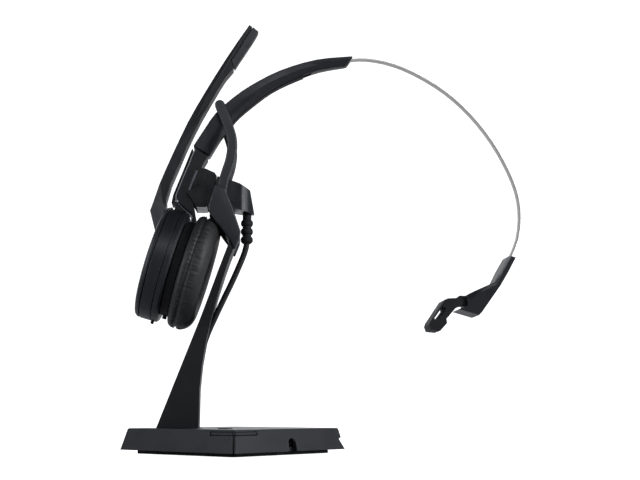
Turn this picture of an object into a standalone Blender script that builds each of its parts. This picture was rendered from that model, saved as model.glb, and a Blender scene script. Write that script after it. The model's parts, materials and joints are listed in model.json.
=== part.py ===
"""Single-sided wireless office headset, hanging on its charging stand.

World frame: +Z up, +X along the base's diagonal from the ear cup to the temple pad, +Y to the
far side.  The origin is the centre of the foot pad's underside.  Sizes below are millimetres.
"""
import math

import bmesh
import bpy
from mathutils import Vector

MM = 0.001
GAP = 0.3

# ---------------------------------------------------------------- stand, driving dimensions
BASE_TOP_DIAGONAL = 56.5        # half diagonal of the square base at its top face
BASE_FOOT_DIAGONAL = 60.2       # half diagonal where the casing ends
BASE_BOTTOM = 2.0
BASE_TOP = 13.1
BASE_WALL = 2.0
BASE_CORNER = 1.1               # how far each corner of the square is cut off
PAD_DIAGONAL = 51.2
BALLAST_DIAGONAL = 46.0
POST_HALF_WIDTH = 12.1
HEAD_HALF_WIDTH = 8.7           # half width of the dock head between the prongs
PLATE_THICKNESS = 2.5
TROUGH_HALF_WIDTH = 7.3

# -------------------------------------------------------------- headset, driving dimensions
ARM_HALF_WIDTH = 6.9            # slider arm and head band, half width
CUP_TILT = math.radians(16.0)   # lean of the ear cup's face from the vertical
CUP_AXIS_HEIGHT = 85.7          # distance of the cup's axis from the origin, along the face
CUP_RADIUS = 31.0
CUSHION_RADIUS = 31.6
CUP_FLAT = 28.3                 # flat on the cup's rim under the slider arm, from the axis
PIVOT_DEPTH = 56.1              # where the swivel pin stands along the cup's axis
BAND_CENTRE = (68.0, 120.0)     # centre of the arc that the size adjustment follows
TONGUE_RADIUS = 97.2
TONGUE_START = 153.6            # degrees, where the tongue leaves the slider arm
TONGUE_SWEEP = 24.0
HINGE_POINT = (121.8, 80.6)     # temple pad hinge
STUB_RADIUS = 0.9
CABLE_RADIUS = 1.6
BOOT_X = 5.7
PLATE_REACH = 14.9              # half width over the side plates, and of the post just below them
PAD_HALF_WIDTH = 8.0            # temple pad
TEMPLE_HALF_WIDTH = 9.0         # temple arm
ROUND_STEPS = 40


# --------------------------------------------------------------------------------- helpers
def material(name, colour, roughness, metallic=0.0):
    made = bpy.data.materials.new(name)
    made.use_nodes = True
    shader = made.node_tree.nodes["Principled BSDF"]
    shader.inputs["Base Color"].default_value = (*colour, 1.0)
    shader.inputs["Roughness"].default_value = roughness
    shader.inputs["Metallic"].default_value = metallic
    return made


def empty(name, place, turn=(0.0, 0.0, 0.0), parent=None):
    """A frame for moving pieces.  The place is in world millimetres and the parent is upright."""
    holder = bpy.data.objects.new(name, None)
    bpy.context.collection.objects.link(holder)
    start = Vector(parent.matrix_world.translation) if parent else Vector((0.0, 0.0, 0.0))
    holder.parent = parent
    holder.location = Vector(place) * MM - start
    holder.rotation_euler = turn
    bpy.context.view_layer.update()
    return holder


def solid(name, points, faces, finish, parent=None, local=False):
    """An object from points in millimetres, given in the world or in the parent's own frame."""
    start = Vector((0.0, 0.0, 0.0))
    if parent and not local:
        start = Vector(parent.matrix_world.translation)
    mesh = bpy.data.meshes.new(name)
    mesh.from_pydata([tuple(Vector(p) * MM - start) for p in points], [], faces)
    shape = bmesh.new()
    shape.from_mesh(mesh)
    bmesh.ops.recalc_face_normals(shape, faces=shape.faces)
    shape.to_mesh(mesh)
    shape.free()
    item = bpy.data.objects.new(name, mesh)
    bpy.context.collection.objects.link(item)
    item.parent = parent
    if finish:
        mesh.materials.append(finish)
        mesh.shade_smooth()
        mesh.set_sharp_from_angle(angle=math.radians(35.0))
    else:
        item.hide_render = True
        item.display_type = "WIRE"
    return item


def loft(name, rings, finish, parent=None, local=False, closed=False):
    """Skin equal rings of points; the first and last are capped, or joined when closed."""
    count = len(rings[0])
    points = [p for ring in rings for p in ring]
    faces = []
    links = len(rings) if closed else len(rings) - 1
    for row in range(links):
        here = row * count
        there = ((row + 1) % len(rings)) * count
        for k in range(count):
            following = (k + 1) % count
            faces.append((here + k, here + following, there + following, there + k))
    if not closed:
        faces.append(tuple(range(count)))
        faces.append(tuple(range((len(rings) - 1) * count, len(rings) * count)))
    return solid(name, points, faces, finish, parent, local)


def side_plate(name, outline, low, high, finish, parent=None, local=False):
    """A plate with its outline in XZ, reaching from y = low to y = high."""
    rings = [[(x, y, z) for x, z in outline] for y in (low, high)]
    return loft(name, rings, finish, parent, local)


def flat_plate(name, outline, low, high, finish, parent=None, local=False):
    """A plate with its outline in XY, reaching from z = low to z = high."""
    rings = [[(x, y, z) for x, y in outline] for z in (low, high)]
    return loft(name, rings, finish, parent, local)


def turned(name, section, finish, parent=None, steps=ROUND_STEPS, place=(0.0, 0.0, 0.0),
           along="Z"):
    """Turn a section of (radius, height) about an axis; one that starts on the axis is a solid."""
    points = []
    rows = []
    for radius, height in section:
        first = len(points)
        if radius == 0.0:
            points.append((0.0, 0.0, height))
            rows.append([first] * steps)
            continue
        for k in range(steps):
            angle = math.tau * k / steps
            points.append((radius * math.cos(angle), radius * math.sin(angle), height))
        rows.append([first + k for k in range(steps)])
    if section[0][0] > 0.0:
        rows.append(rows[0])
    faces = []
    for low, high in zip(rows, rows[1:]):
        for k in range(steps):
            after = (k + 1) % steps
            corners = dict.fromkeys((low[k], low[after], high[after], high[k]))
            if len(corners) > 2:
                faces.append(tuple(corners))
    if along == "X":
        points = [(z, y, -x) for x, y, z in points]
    if along == "Y":
        points = [(x, z, -y) for x, y, z in points]
    moved = [tuple(Vector(p) + Vector(place)) for p in points]
    return solid(name, moved, faces, finish, parent, local=bool(parent))


def box(name, low, high, finish, parent=None, local=False):
    outline = [(low[0], low[1]), (high[0], low[1]), (high[0], high[1]), (low[0], high[1])]
    return flat_plate(name, outline, low[2], high[2], finish, parent, local)


def tube(name, route, radius, finish, sides=10, parent=None):
    """A round tube along a smooth route, its rings square to the route."""
    rings = []
    for k, point in enumerate(route):
        before = Vector(route[max(k - 1, 0)])
        after = Vector(route[min(k + 1, len(route) - 1)])
        ahead = (after - before).normalized()
        aside = Vector((0.0, 1.0, 0.0))
        upward = ahead.cross(aside).normalized()
        aside = upward.cross(ahead)
        ring = []
        for j in range(sides):
            angle = math.tau * j / sides
            ring.append(tuple(Vector(point) + radius * (math.cos(angle) * aside
                                                        + math.sin(angle) * upward)))
        rings.append(ring)
    return loft(name, rings, finish, parent)


def smooth(points, steps):
    """Points on the smooth curve that passes through the given ones."""
    ends = [Vector(p) for p in points]
    ends = [2 * ends[0] - ends[1]] + ends + [2 * ends[-1] - ends[-2]]
    curve = []
    for k in range(1, len(ends) - 2):
        a, b, c, d = ends[k - 1:k + 3]
        for j in range(steps):
            t = j / steps
            curve.append(tuple(0.5 * (2 * b + (c - a) * t + (2 * a - 5 * b + 4 * c - d) * t * t
                                      + (3 * b - a - 3 * c + d) * t ** 3)))
    return curve + [tuple(ends[-2])]


def ribbon(centre, thickness):
    """The outline of a strip of even thickness along a line in XZ."""
    left = []
    right = []
    for k, point in enumerate(centre):
        before = Vector(centre[max(k - 1, 0)])
        after = Vector(centre[min(k + 1, len(centre) - 1)])
        ahead = (after - before).normalized()
        aside = Vector((-ahead.y, ahead.x)) * thickness / 2
        left.append(tuple(Vector(point) + aside))
        right.append(tuple(Vector(point) - aside))
    return left + right[::-1]


def arc(centre, radius, start, end, steps):
    """Points on a circle in XZ, angles in degrees from +X towards +Z."""
    angles = [math.radians(start + (end - start) * k / steps) for k in range(steps + 1)]
    return [(centre[0] + radius * math.cos(a), centre[1] + radius * math.sin(a)) for a in angles]


def cut(target, cutter, operation="DIFFERENCE"):
    change = target.modifiers.new(operation.title(), "BOOLEAN")
    change.operation = operation
    change.solver = "EXACT"
    change.object = cutter
    cutter.hide_render = True
    cutter.display_type = "WIRE"


def soften(target, width, segments=2):
    edge = target.modifiers.new("Edges", "BEVEL")
    edge.width = width * MM
    edge.segments = segments
    edge.limit_method = "ANGLE"
    edge.angle_limit = math.radians(40.0)


def square_on_corner(half_diagonal, corner, centre=(0.0, 0.0)):
    """A square standing on its corner, each corner cut off a little."""
    outline = []
    for k in range(4):
        angle = math.radians(90.0 * k)
        along = Vector((math.cos(angle), math.sin(angle)))
        aside = Vector((-along.y, along.x))
        tip = Vector(centre) + along * (half_diagonal - corner)
        outline.append(tuple(tip - aside * corner))
        outline.append(tuple(tip + aside * corner))
    return outline


def cup_point(depth, height):
    """World XZ of a place given along the cup's axis and up its face."""
    lean = math.sin(CUP_TILT)
    rise = math.cos(CUP_TILT)
    return (lean * height - rise * depth, rise * height + lean * depth)


def screw(name, radius, head_radius, low, high, place, finish, head=1.4, parent=None):
    """A pan-head screw standing up along Z, its head at the lower end, with a driver recess."""
    section = [(0.0, low + head * 0.55), (head_radius * 0.45, low + head * 0.55),
               (head_radius * 0.45, low), (head_radius * 0.85, low),
               (head_radius, low + head * 0.3), (head_radius, low + head),
               (radius, low + head), (radius, high - radius * 0.6), (radius * 0.5, high),
               (0.0, high)]
    return turned(name, section, finish, parent, steps=16, place=(place[0], place[1], 0.0))


# ------------------------------------------------------------------------------- materials
def make_finishes():
    return {
        "casing": material("casing_black", (0.030, 0.031, 0.034), 0.45),
        "frame": material("stand_black", (0.020, 0.021, 0.023), 0.5),
        "plate": material("side_plate_grey", (0.034, 0.037, 0.041), 0.42),
        "rubber": material("rubber_black", (0.008, 0.008, 0.009), 0.85),
        "steel": material("spring_steel", (0.42, 0.41, 0.39), 0.3, 1.0),
        "ballast": material("ballast_steel", (0.35, 0.35, 0.36), 0.5, 1.0),
        "gold": material("contact_gold", (0.80, 0.55, 0.20), 0.3, 1.0),
        "board": material("circuit_green", (0.02, 0.12, 0.05), 0.5),
        "magnet": material("magnet_nickel", (0.55, 0.55, 0.56), 0.25, 1.0),
        "cushion": material("leatherette", (0.012, 0.012, 0.013), 0.4),
        "boom": material("boom_charcoal", (0.026, 0.025, 0.030), 0.5),
        "lens": material("smoked_lens", (0.02, 0.02, 0.022), 0.1),
        "cell": material("battery_wrap", (0.10, 0.13, 0.30), 0.4),
        "cable": material("cable_black", (0.012, 0.012, 0.013), 0.6),
        "speaker": material("driver_frame", (0.12, 0.12, 0.12), 0.4, 0.6),
    }


# -------------------------------------------------------------------------------- the base
def base_diagonal(height):
    """The casing's half diagonal at a height, along its tapering sides."""
    share = (height - BASE_BOTTOM) / (BASE_TOP - BASE_BOTTOM)
    return BASE_FOOT_DIAGONAL + share * (BASE_TOP_DIAGONAL - BASE_FOOT_DIAGONAL)


def face_box(name, distance, width, low, high, finish=None):
    """A box square to the near right face, between two distances from the base's centre."""
    inner, outer = distance
    outward = Vector((1.0, -1.0)).normalized()
    aside = Vector((1.0, 1.0)).normalized() * width / 2
    corners = [outward * inner - aside, outward * outer - aside,
               outward * outer + aside, outward * inner + aside]
    return flat_plate(name, [tuple(c) for c in corners], low, high, finish)


def make_base(finish):
    ceiling = BASE_TOP - BASE_WALL
    inset = BASE_WALL * math.sqrt(2.0)
    rim = 0.45

    def ring(diagonal, height):
        outline = square_on_corner(diagonal, BASE_CORNER)
        return [(x, y, height) for x, y in outline]

    shell = loft("base_top_shell",
                 [ring(base_diagonal(BASE_BOTTOM), BASE_BOTTOM),
                  ring(base_diagonal(BASE_TOP - rim), BASE_TOP - rim),
                  ring(BASE_TOP_DIAGONAL - rim, BASE_TOP)], finish["casing"])
    cavity = loft("base_cavity",
                  [ring(base_diagonal(1.0) - inset, 1.0),
                   ring(base_diagonal(ceiling) - inset, ceiling)], None)
    cut(shell, cavity)
    post_hole = box("post_hole", (-40.3, -12.7, 8.0), (-17.2, 12.7, 15.0), None)
    cut(shell, post_hole)

    # arched cable notch in the near right face, and the cut under the right corner
    notch_width = 5.8
    notch = face_box("cable_notch", (36.5, 44.0), notch_width, 1.0, 6.0)
    outward = Vector((1.0, -1.0, 0.0)).normalized()
    arch_rings = []
    for distance in (36.5, 44.0):
        middle = outward * distance
        across = Vector((1.0, 1.0, 0.0)).normalized()
        ring_points = []
        for k in range(16):
            angle = math.tau * (k + 0.5) / 16
            side = across * math.cos(angle) + Vector((0.0, 0.0, 1.0)) * math.sin(angle)
            ring_points.append(tuple(middle + Vector((0.0, 0.0, 5.6)) + side * notch_width / 2))
        arch_rings.append(ring_points)
    arch = loft("cable_notch_arch", arch_rings, None)
    cut(shell, notch)
    cut(shell, arch)
    notch_outline = [(55.8, 7.4), (58.4, 9.4), (62.0, 9.4), (62.0, 2.6), (58.8, 2.6)]
    cut(shell, side_plate("corner_notch", notch_outline, -8.0, 8.0, None))
    cut(shell, box("corner_groove", (-0.45, -62.0, 1.0), (0.45, -56.0, 14.0), None))

    low, high, reach = 10.5, 11.9, 11.2
    face = base_diagonal(high) - 0.2
    back = face - 1.3
    cut(shell, corner_strip("window_recess", 62.0, back - 0.45, reach + GAP, low - GAP,
                            high + GAP, None))
    corner_strip("indicator_window", face, back, reach, low, high, finish["lens"])

    cut(shell, turned("button_hole", [(0.0, 9.0), (4.3, 9.0), (4.3, 15.0), (0.0, 15.0)], None,
                      steps=24, place=(-4.2, -30.0, 0.0)))
    cut(shell, turned("light_hole", [(0.0, 9.0), (1.5, 9.0), (1.5, 15.0), (0.0, 15.0)], None,
                      steps=16, place=(4.8, -40.0, 0.0)))
    turned("status_light", [(0.0, 11.2), (1.2, 11.2), (1.2, 13.0), (0.8, 13.2), (0.0, 13.25)],
           finish["lens"], steps=16, place=(4.8, -40.0, 0.0))
    holder = empty("mode_button_slide", (-4.2, -30.0, 0.0))
    turned("mode_button", [(0.0, 9.6), (1.4, 9.6), (1.4, 10.4), (3.95, 10.4), (3.95, 13.3),
                           (3.4, 13.7), (0.0, 13.7)], finish["frame"], holder, steps=24)
    for direction in (-1.0, 1.0):
        cut(shell, turned("post_screw_pilot", [(0.0, 10.0), (1.3, 10.0), (1.3, 12.4),
                                               (0.0, 12.4)], None, steps=12,
                          place=(-22.0, 14.6 * direction, 0.0)))

    cover = flat_plate("base_bottom_cover", square_on_corner(55.8, BASE_CORNER), 2.0, 4.0,
                       finish["frame"])
    pad_places = [(44.0, 0.0), (-44.0, 0.0), (0.0, 44.0), (0.0, -44.0)]
    ballast = flat_plate("base_ballast", square_on_corner(BALLAST_DIAGONAL, 10.0), 4.4, 6.6,
                         finish["ballast"])
    cut(ballast, box("ballast_cable_gap", (-31.0, -5.0, 4.0), (-19.0, 5.0, 7.0), None))
    flat_plate("base_foot_pad", square_on_corner(PAD_DIAGONAL, BASE_CORNER), 0.0, 1.7,
               finish["rubber"])
    for k, (x, y) in enumerate(pad_places, start=1):
        hole = [(0.0, 1.0), (2.7, 1.0), (2.7, 3.3), (1.3, 3.3), (1.3, 5.0), (0.0, 5.0)]
        cut(cover, turned("cover_screw_hole", hole, None, steps=16, place=(x, y, 0.0)))
        screw(f"base_screw_{k}", 1.0, 2.3, 2.0, 7.6, (x, y), finish["magnet"], head=1.0)
        cut(ballast, turned("ballast_screw_hole", [(0.0, 4.0), (1.9, 4.0), (1.9, 7.0),
                                                   (0.0, 7.0)], None, steps=16,
                            place=(x, y, 0.0)))

    board = flat_plate("base_circuit_board", square_on_corner(25.0, 2.0, (14.0, -4.0)), 7.4, 8.6,
                       finish["board"])
    cut(board, box("board_step", (-14.0, -32.0, 7.0), (-9.0, 24.0, 9.0), None))
    face_box("usb_socket", (33.2, 38.0), 7.4, 4.3, 7.1, finish["magnet"])


def corner_strip(name, diagonal, inner, reach, low, high, finish):
    """A strip that wraps the near corner of the base, its ends square to the X axis."""
    flat = BASE_CORNER
    outline = [(-reach, reach - diagonal), (-flat, flat - diagonal), (flat, flat - diagonal),
               (reach, reach - diagonal), (reach, reach - inner), (flat, flat - inner),
               (-flat, flat - inner), (-reach, reach - inner)]
    return flat_plate(name, outline, low, high, finish)


# ------------------------------------------------------------------- the post and dock head
POST_OUTLINE = [(-40.1, 9.0), (-40.1, 13.1), (-18.8, 69.3), (-3.6, 111.5), (-5.6, 117.0),
                (-7.6, 122.4), (-9.6, 127.0), (-9.0, 128.4), (-2.4, 127.8), (1.8, 116.8),
                (1.6, 114.6), (-0.3, 110.6), (-4.5, 99.3), (-9.5, 82.5), (-12.6, 70.0),
                (-14.9, 59.3), (-17.0, 46.2), (-18.1, 33.3), (-18.3, 9.0)]
CHEEK_STATIONS = [(66.0, -19.9, -13.5, 12.2), (82.5, -14.0, -9.5, 13.6), (96.0, -9.2, -5.5, 14.9),
                  (104.0, -6.3, -2.8, 14.9), (111.2, -3.7, 0.0, 14.9)]
PLATE_OUTLINE = [(-11.4, 142.6), (-6.6, 140.2), (-2.2, 129.6), (2.2, 116.8), (2.0, 113.6),
                 (-0.9, 106.2), (-3.5, 111.6), (-14.7, 126.6), (-15.3, 130.4)]
PLATE_ROOM = [(-20.0, 150.0), (8.0, 150.0), (8.0, 117.0), (2.5, 113.4), (-0.9, 105.5),
              (-4.0, 111.5), (-20.0, 128.0)]
PRONG_ROUTE = [(-0.6, 112.2), (-2.2, 119.6), (-5.6, 130.0), (-7.9, 137.4), (-7.6, 142.8),
               (-6.3, 148.2), (-4.2, 155.0), (-3.2, 160.4), (-2.9, 165.0), (-3.6, 170.2),
               (-6.2, 178.0), (-8.7, 184.0), (-10.0, 187.4)]
PRONG_WIDTH = 5.5
CABLE_ROUTE = [(BOOT_X, 0.0, 134.5), (BOOT_X, 0.0, 129.0), (BOOT_X, 0.0, 122.0),
               (BOOT_X, 0.0, 116.5), (BOOT_X, 0.0, 112.4), (4.7, 0.0, 107.8), (3.0, 0.0, 103.0),
               (-1.5, 0.0, 92.2),
               (-6.6, 0.0, 81.2), (-11.2, 0.0, 71.0), (-14.6, 0.0, 63.0), (-17.4, 0.0, 54.5),
               (-19.8, 0.0, 46.0), (-22.2, 0.0, 36.0), (-24.2, 0.0, 25.0), (-25.0, 0.0, 15.0),
               (-25.0, 0.0, 8.9)]


def make_cheek(direction):
    """The swelling on one side of the post that runs up flush with the side plate."""
    rings = []
    for height, left, right, reach in CHEEK_STATIONS:
        rings.append([(left, 11.0 * direction, height), (right, 11.0 * direction, height),
                      (right, reach * direction, height), (left, reach * direction, height)])
    cheek = loft("post_cheek", rings, None)
    low, high = sorted((POST_HALF_WIDTH * direction, 20.0 * direction))
    cut(cheek, side_plate("plate_room", PLATE_ROOM, low, high, None))
    return cheek


def round_end(before, end, radius):
    """Points round the end of a strip, from its left side to its right."""
    ahead = (Vector(end) - Vector(before)).normalized()
    aside = Vector((-ahead.y, ahead.x))
    points = []
    for k in range(1, 6):
        angle = math.pi * k / 6
        points.append(tuple(Vector(end) + radius * (math.cos(angle) * aside
                                                    + math.sin(angle) * ahead)))
    return points


def make_post(finish):
    half = POST_HALF_WIDTH
    post = side_plate("stand_post", POST_OUTLINE, -half, half, finish["frame"])
    cut(post, box("post_flange", (-36.0, -16.6, 8.6), (-12.5, 16.6, 10.8), None), "UNION")
    for number, direction in ((1, -1.0), (2, 1.0)):
        side = "near" if direction < 0 else "far"
        low, high = sorted((HEAD_HALF_WIDTH * direction, 20.0 * direction))
        cut(post, box("prong_seat", (-20.0, low, 111.6), (10.0, high, 150.0), None))
        cut(post, make_cheek(direction), "UNION")
        low, high = sorted((direction * (half + GAP), direction * (half + GAP + PLATE_THICKNESS)))
        side_plate(f"side_plate_{side}", PLATE_OUTLINE, low, high, finish["plate"])
        low, high = sorted((direction * (HEAD_HALF_WIDTH + GAP), direction * half))
        route = smooth(PRONG_ROUTE, 3)
        sides = ribbon(route, PRONG_WIDTH)
        tip = round_end(route[-2], route[-1], PRONG_WIDTH / 2)
        prong = side_plate(f"prong_{side}", sides[:len(route)] + tip + sides[len(route):], low,
                           high, finish["plate"])
        soften(prong, 0.9, 2)
        place = (-22.0, 14.6 * direction, 0.0)
        hole = [(0.0, 8.0), (1.3, 8.0), (1.3, 12.0), (0.0, 12.0)]
        cut(post, turned("post_screw_hole", hole, None, steps=12, place=place))
        screw(f"post_screw_{number}", 1.0, 2.2, 6.95, 12.1, place, finish["magnet"], head=1.3)
    below = (CABLE_ROUTE[-1][0], 0.0, 5.0)
    channel = tube("cable_channel", smooth(CABLE_ROUTE[7:] + [below], 2), CABLE_RADIUS + GAP,
                   None, sides=12)
    cut(post, channel)


def make_dock(finish):
    half = HEAD_HALF_WIDTH
    front = [(-22.6, 152.0), (-17.3, 152.1), (-12.2, 149.8), (-11.0, 148.0), (-14.4, 131.8),
             (-16.6, 130.6), (-21.9, 130.6), (-24.4, 135.0), (-27.2, 138.9)]
    housing = side_plate("dock_front_housing", front, -half, half, finish["casing"])
    trough = [(-15.4, 160.0), (-18.8, 151.2), (-23.4, 139.2), (-22.4, 134.2), (-20.6, 127.0),
              (-20.6, 120.0), (-40.0, 120.0), (-40.0, 160.0)]
    cut(housing, side_plate("dock_trough", trough, -TROUGH_HALF_WIDTH, TROUGH_HALF_WIDTH, None))
    hollow = [(-12.6, 147.0), (-8.0, 147.0), (-10.0, 132.6), (-16.4, 132.6), (-18.0, 136.4)]
    cut(housing, side_plate("dock_hollow", hollow, -6.9, 6.9, None))

    rear = [(-10.7, 147.9), (-4.1, 146.0), (1.6, 144.2), (7.2, 141.2), (9.8, 128.1),
            (-1.6, 130.4), (-14.0, 131.8)]
    cover = side_plate("dock_rear_cover", rear, -half, half, finish["casing"])
    plan = [(-20.0, -15.0), (-20.0, 15.0)] + [
        (0.6 + 9.2 * math.sin(math.radians(a)), half * math.cos(math.radians(a)))
        for a in range(0, 181, 12)]
    plan = [plan[0]] + plan[:0:-1]
    rounding = flat_plate("rear_plan", plan, 120.0, 155.0, None)
    cut(cover, rounding, "INTERSECT")
    inner = [(-16.0, 146.0), (-9.6, 145.4), (-4.2, 143.8), (6.0, 139.6), (8.2, 130.6),
             (-1.6, 132.2), (-16.0, 133.6)]
    hollow = side_plate("rear_hollow", inner, -6.9, 6.9, None)
    cut(hollow, flat_plate("rear_hollow_plan", [(x - 1.2, y * 0.8) for x, y in plan], 120.0,
                           155.0, None), "INTERSECT")
    cut(cover, hollow)
    cut(cover, turned("boot_hole", [(0.0, 120.0), (2.8, 120.0), (2.8, 135.0), (0.0, 135.0)],
                      None, steps=20, place=(BOOT_X, 0.0, 0.0)))

    lean = math.radians(-21.0)
    holder = empty("dock_face", (-19.4, 0.0, 142.0), (0.0, lean, 0.0))
    cut(housing, box("magnet_pocket", (-1.0, -5.3, -4.4), (5.0, 5.3, 4.4), None, holder, True))
    box("dock_magnet", (-0.4, -5.0, -4.1), (1.9, 5.0, 4.1), finish["magnet"], holder, True)
    for number, side in ((1, -1.0), (2, 1.0)):
        pin_holder = empty(f"contact_pin_{number}_slide", (-21.9, 2.6 * side, 136.0))
        section = [(0.0, -2.0), (0.5, -1.85), (0.75, -1.4), (0.75, 1.4), (1.15, 1.4),
                   (1.15, 4.4), (0.0, 4.4)]
        turned(f"contact_pin_{number}", section, finish["gold"], pin_holder, steps=14,
               along="X")
        hole = [(0.0, -4.0), (1.05, -4.0), (1.05, 1.1), (1.45, 1.1), (1.45, 5.6), (0.0, 5.6)]
        cut(housing, turned("pin_bore", hole, None, steps=14, along="X",
                            place=(-21.9, 2.6 * side, 136.0)))


def make_strain_relief(finish):
    """The ribbed boot under the dock head, and the lead that runs from it down into the post."""
    bore = CABLE_RADIUS + 0.4
    section = [(bore, 112.2), (2.5, 112.2), (2.8, 112.9), (2.7, 113.9), (2.45, 114.4),
               (2.45, 115.5), (2.9, 116.0), (3.1, 117.2), (3.0, 118.6), (2.45, 119.4),
               (2.45, 121.1), (3.2, 121.7), (3.5, 123.2), (3.3, 124.8), (2.45, 125.6),
               (2.45, 133.6), (bore, 133.6)]
    turned("strain_relief", section, finish["rubber"], steps=20, place=(BOOT_X, 0.0, 0.0))


def make_lead(finish):
    tube("dock_cable", smooth(CABLE_ROUTE, 3), CABLE_RADIUS, finish["cable"])
    box("cable_plug", (-28.0, -3.2, 6.9), (-22.0, 3.2, 8.4), finish["magnet"])


# ------------------------------------------------------------------------ the slider and band
LEAF_ROUTE = [(-23.6, 162.8), (-24.9, 159.6), (-27.1, 153.6), (-29.9, 146.4), (-32.4, 139.6), (-33.1, 136.6),
              (-32.2, 133.9), (-29.8, 131.3), cup_point(61.3, 116.4), cup_point(59.0, 115.5),
              cup_point(57.9, 114.0), cup_point(57.7, 111.8), cup_point(57.7, 109.5)]


def make_slider(finish, headset):
    """The arm that carries the ear cup and telescopes into the head band."""
    leaf = smooth(LEAF_ROUTE, 3)
    thick = 0.8
    side_plate("arm_spring_leaf", ribbon(leaf, thick), -4.8, 4.8, finish["steel"], headset)
    clear = thick / 2 + GAP
    offset = ribbon(leaf, 2 * clear)
    count = len(leaf)
    left_side = offset[:count]
    right_side = offset[count:][::-1]
    if left_side[0][0] > right_side[0][0]:
        left_side, right_side = right_side, left_side

    # inner body: right of the leaf, up to the shoulder, with the tongue and the pivot stub
    inner_edge = [cup_point(55.2, 109.4), cup_point(55.4, 114.0), (-22.5, 127.4),
                  (-22.9, 130.6), (-23.9, 134.6), (-24.9, 138.9), (-20.2, 150.9),
                  (-18.4, 155.6), (-16.2, 159.4)]
    body = [(-22.4, 163.1)] + right_side + inner_edge
    arm = side_plate("slider_arm", body, -ARM_HALF_WIDTH, ARM_HALF_WIDTH, finish["frame"],
                     headset)
    outer = arc(BAND_CENTRE, TONGUE_RADIUS + 1.0, TONGUE_START + 3.0,
                TONGUE_START - TONGUE_SWEEP, 12)
    inner = arc(BAND_CENTRE, TONGUE_RADIUS - 1.0, TONGUE_START - TONGUE_SWEEP,
                TONGUE_START + 3.0, 12)
    tongue = side_plate("slider_tongue", outer + inner, -4.6, 4.6, None, headset)
    cut(arm, tongue, "UNION")
    stub_rings = []
    for height in (CUP_AXIS_HEIGHT + 19.0, CUP_AXIS_HEIGHT + 25.5):
        x, z = cup_point(PIVOT_DEPTH, height)
        ring = []
        for k in range(14):
            angle = math.tau * k / 14
            dx, dz = cup_point(STUB_RADIUS * math.cos(angle), 0.0)
            ring.append((x + dx, STUB_RADIUS * math.sin(angle), z + dz))
        stub_rings.append(ring)
    cut(arm, loft("pivot_stub", stub_rings, None, headset), "UNION")

    # outer cover: left of the leaf, down to the rim of the cup
    keep = [p for p in left_side if p[1] > 128.6]
    outer_edge = [cup_point(62.4, 114.9), cup_point(68.0, 114.9), cup_point(68.0, 117.3),
                  cup_point(69.0, 118.6), (-35.3, 132.9), (-34.5, 137.4), (-31.0, 146.8), (-27.6, 155.8),
                  (-26.0, 160.3), (-24.7, 163.7)]
    side_plate("arm_outer_cover", keep + outer_edge, -ARM_HALF_WIDTH, ARM_HALF_WIDTH,
               finish["frame"], headset)
    contact = [(-24.15, 134.9), (-24.7, 134.8), (-25.3, 137.2), (-24.75, 137.35)]
    side_plate("headset_contact_plate", contact, -4.6, 4.6, finish["gold"], headset)
    pocket = [(-23.0, 134.5), (-25.1, 134.4), (-25.75, 137.7), (-23.6, 137.7)]
    cut(arm, side_plate("contact_pocket", pocket, -4.9, 4.9, None, headset))


BAND_OUTER = [(-24.4, 164.8), (-18.6, 174.3), (-12.7, 183.5), (-4.6, 191.6), (6.4, 200.2),
              (23.0, 209.9), (43.5, 217.2), (64.6, 220.2)]
BAND_INNER = [(-15.4, 159.7), (-9.0, 170.9), (-1.6, 181.6), (6.7, 189.6), (18.6, 199.1),
              (32.0, 206.2), (45.5, 211.5), (61.0, 214.6)]
BAND_END_HALF_WIDTH = 3.8
SPRING_ROUTE = [(58.5, 217.4), (65.0, 218.8), (72.6, 219.1), (82.7, 217.7), (93.6, 214.3),
                (105.4, 208.5), (117.1, 201.0), (127.1, 192.3), (135.6, 183.0), (143.6, 172.0),
                (150.0, 160.6), (154.9, 149.4), (157.6, 139.3), (158.2, 128.4), (156.4, 116.7),
                (152.2, 106.8), (149.5, 102.0)]


def make_band(finish, band):
    rings = []
    stations = list(zip(smooth(BAND_OUTER, 3), smooth(BAND_INNER, 3)))
    for k, (outer, inner) in enumerate(stations):
        share = max(0.0, k / (len(stations) - 1) - 0.55) / 0.45
        half = ARM_HALF_WIDTH + share * (BAND_END_HALF_WIDTH - ARM_HALF_WIDTH)
        shoulder = Vector(outer).lerp(Vector(inner), 0.55)
        section = [(outer, -half), (shoulder, -half), (inner, -0.65 * half),
                   (inner, 0.65 * half), (shoulder, half), (outer, half)]
        rings.append([(place[0], y, place[1]) for place, y in section])
    shell = loft("headband_shell", rings, finish["casing"], band)
    soften(shell, 0.7, 1)
    out = arc(BAND_CENTRE, TONGUE_RADIUS + 1.3, TONGUE_START + 3.0,
              TONGUE_START - TONGUE_SWEEP - 1.2, 12)
    back = arc(BAND_CENTRE, TONGUE_RADIUS - 1.3, TONGUE_START - TONGUE_SWEEP - 1.2,
               TONGUE_START + 3.0, 12)
    cut(shell, side_plate("tongue_channel", out + back, -4.9, 4.9, None, band))

    route = smooth(SPRING_ROUTE, 2)
    side_plate("spring_band", ribbon(route, 0.9), -1.9, 1.9, finish["steel"], band)
    cut(shell, side_plate("spring_pocket", ribbon([(57.6, 217.2)] + route[:6], 1.5), -2.2, 2.2,
                          None, band))

    face = smooth(BAND_INNER[1:], 3)
    side_plate("headband_lining", ribbon(face[2:-5], 1.2), -2.6, 2.6, finish["plate"], band)
    groove = ribbon(face[1:-4], 1.8)
    cut(shell, side_plate("lining_groove", groove, -2.9, 2.9, None, band))


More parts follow.
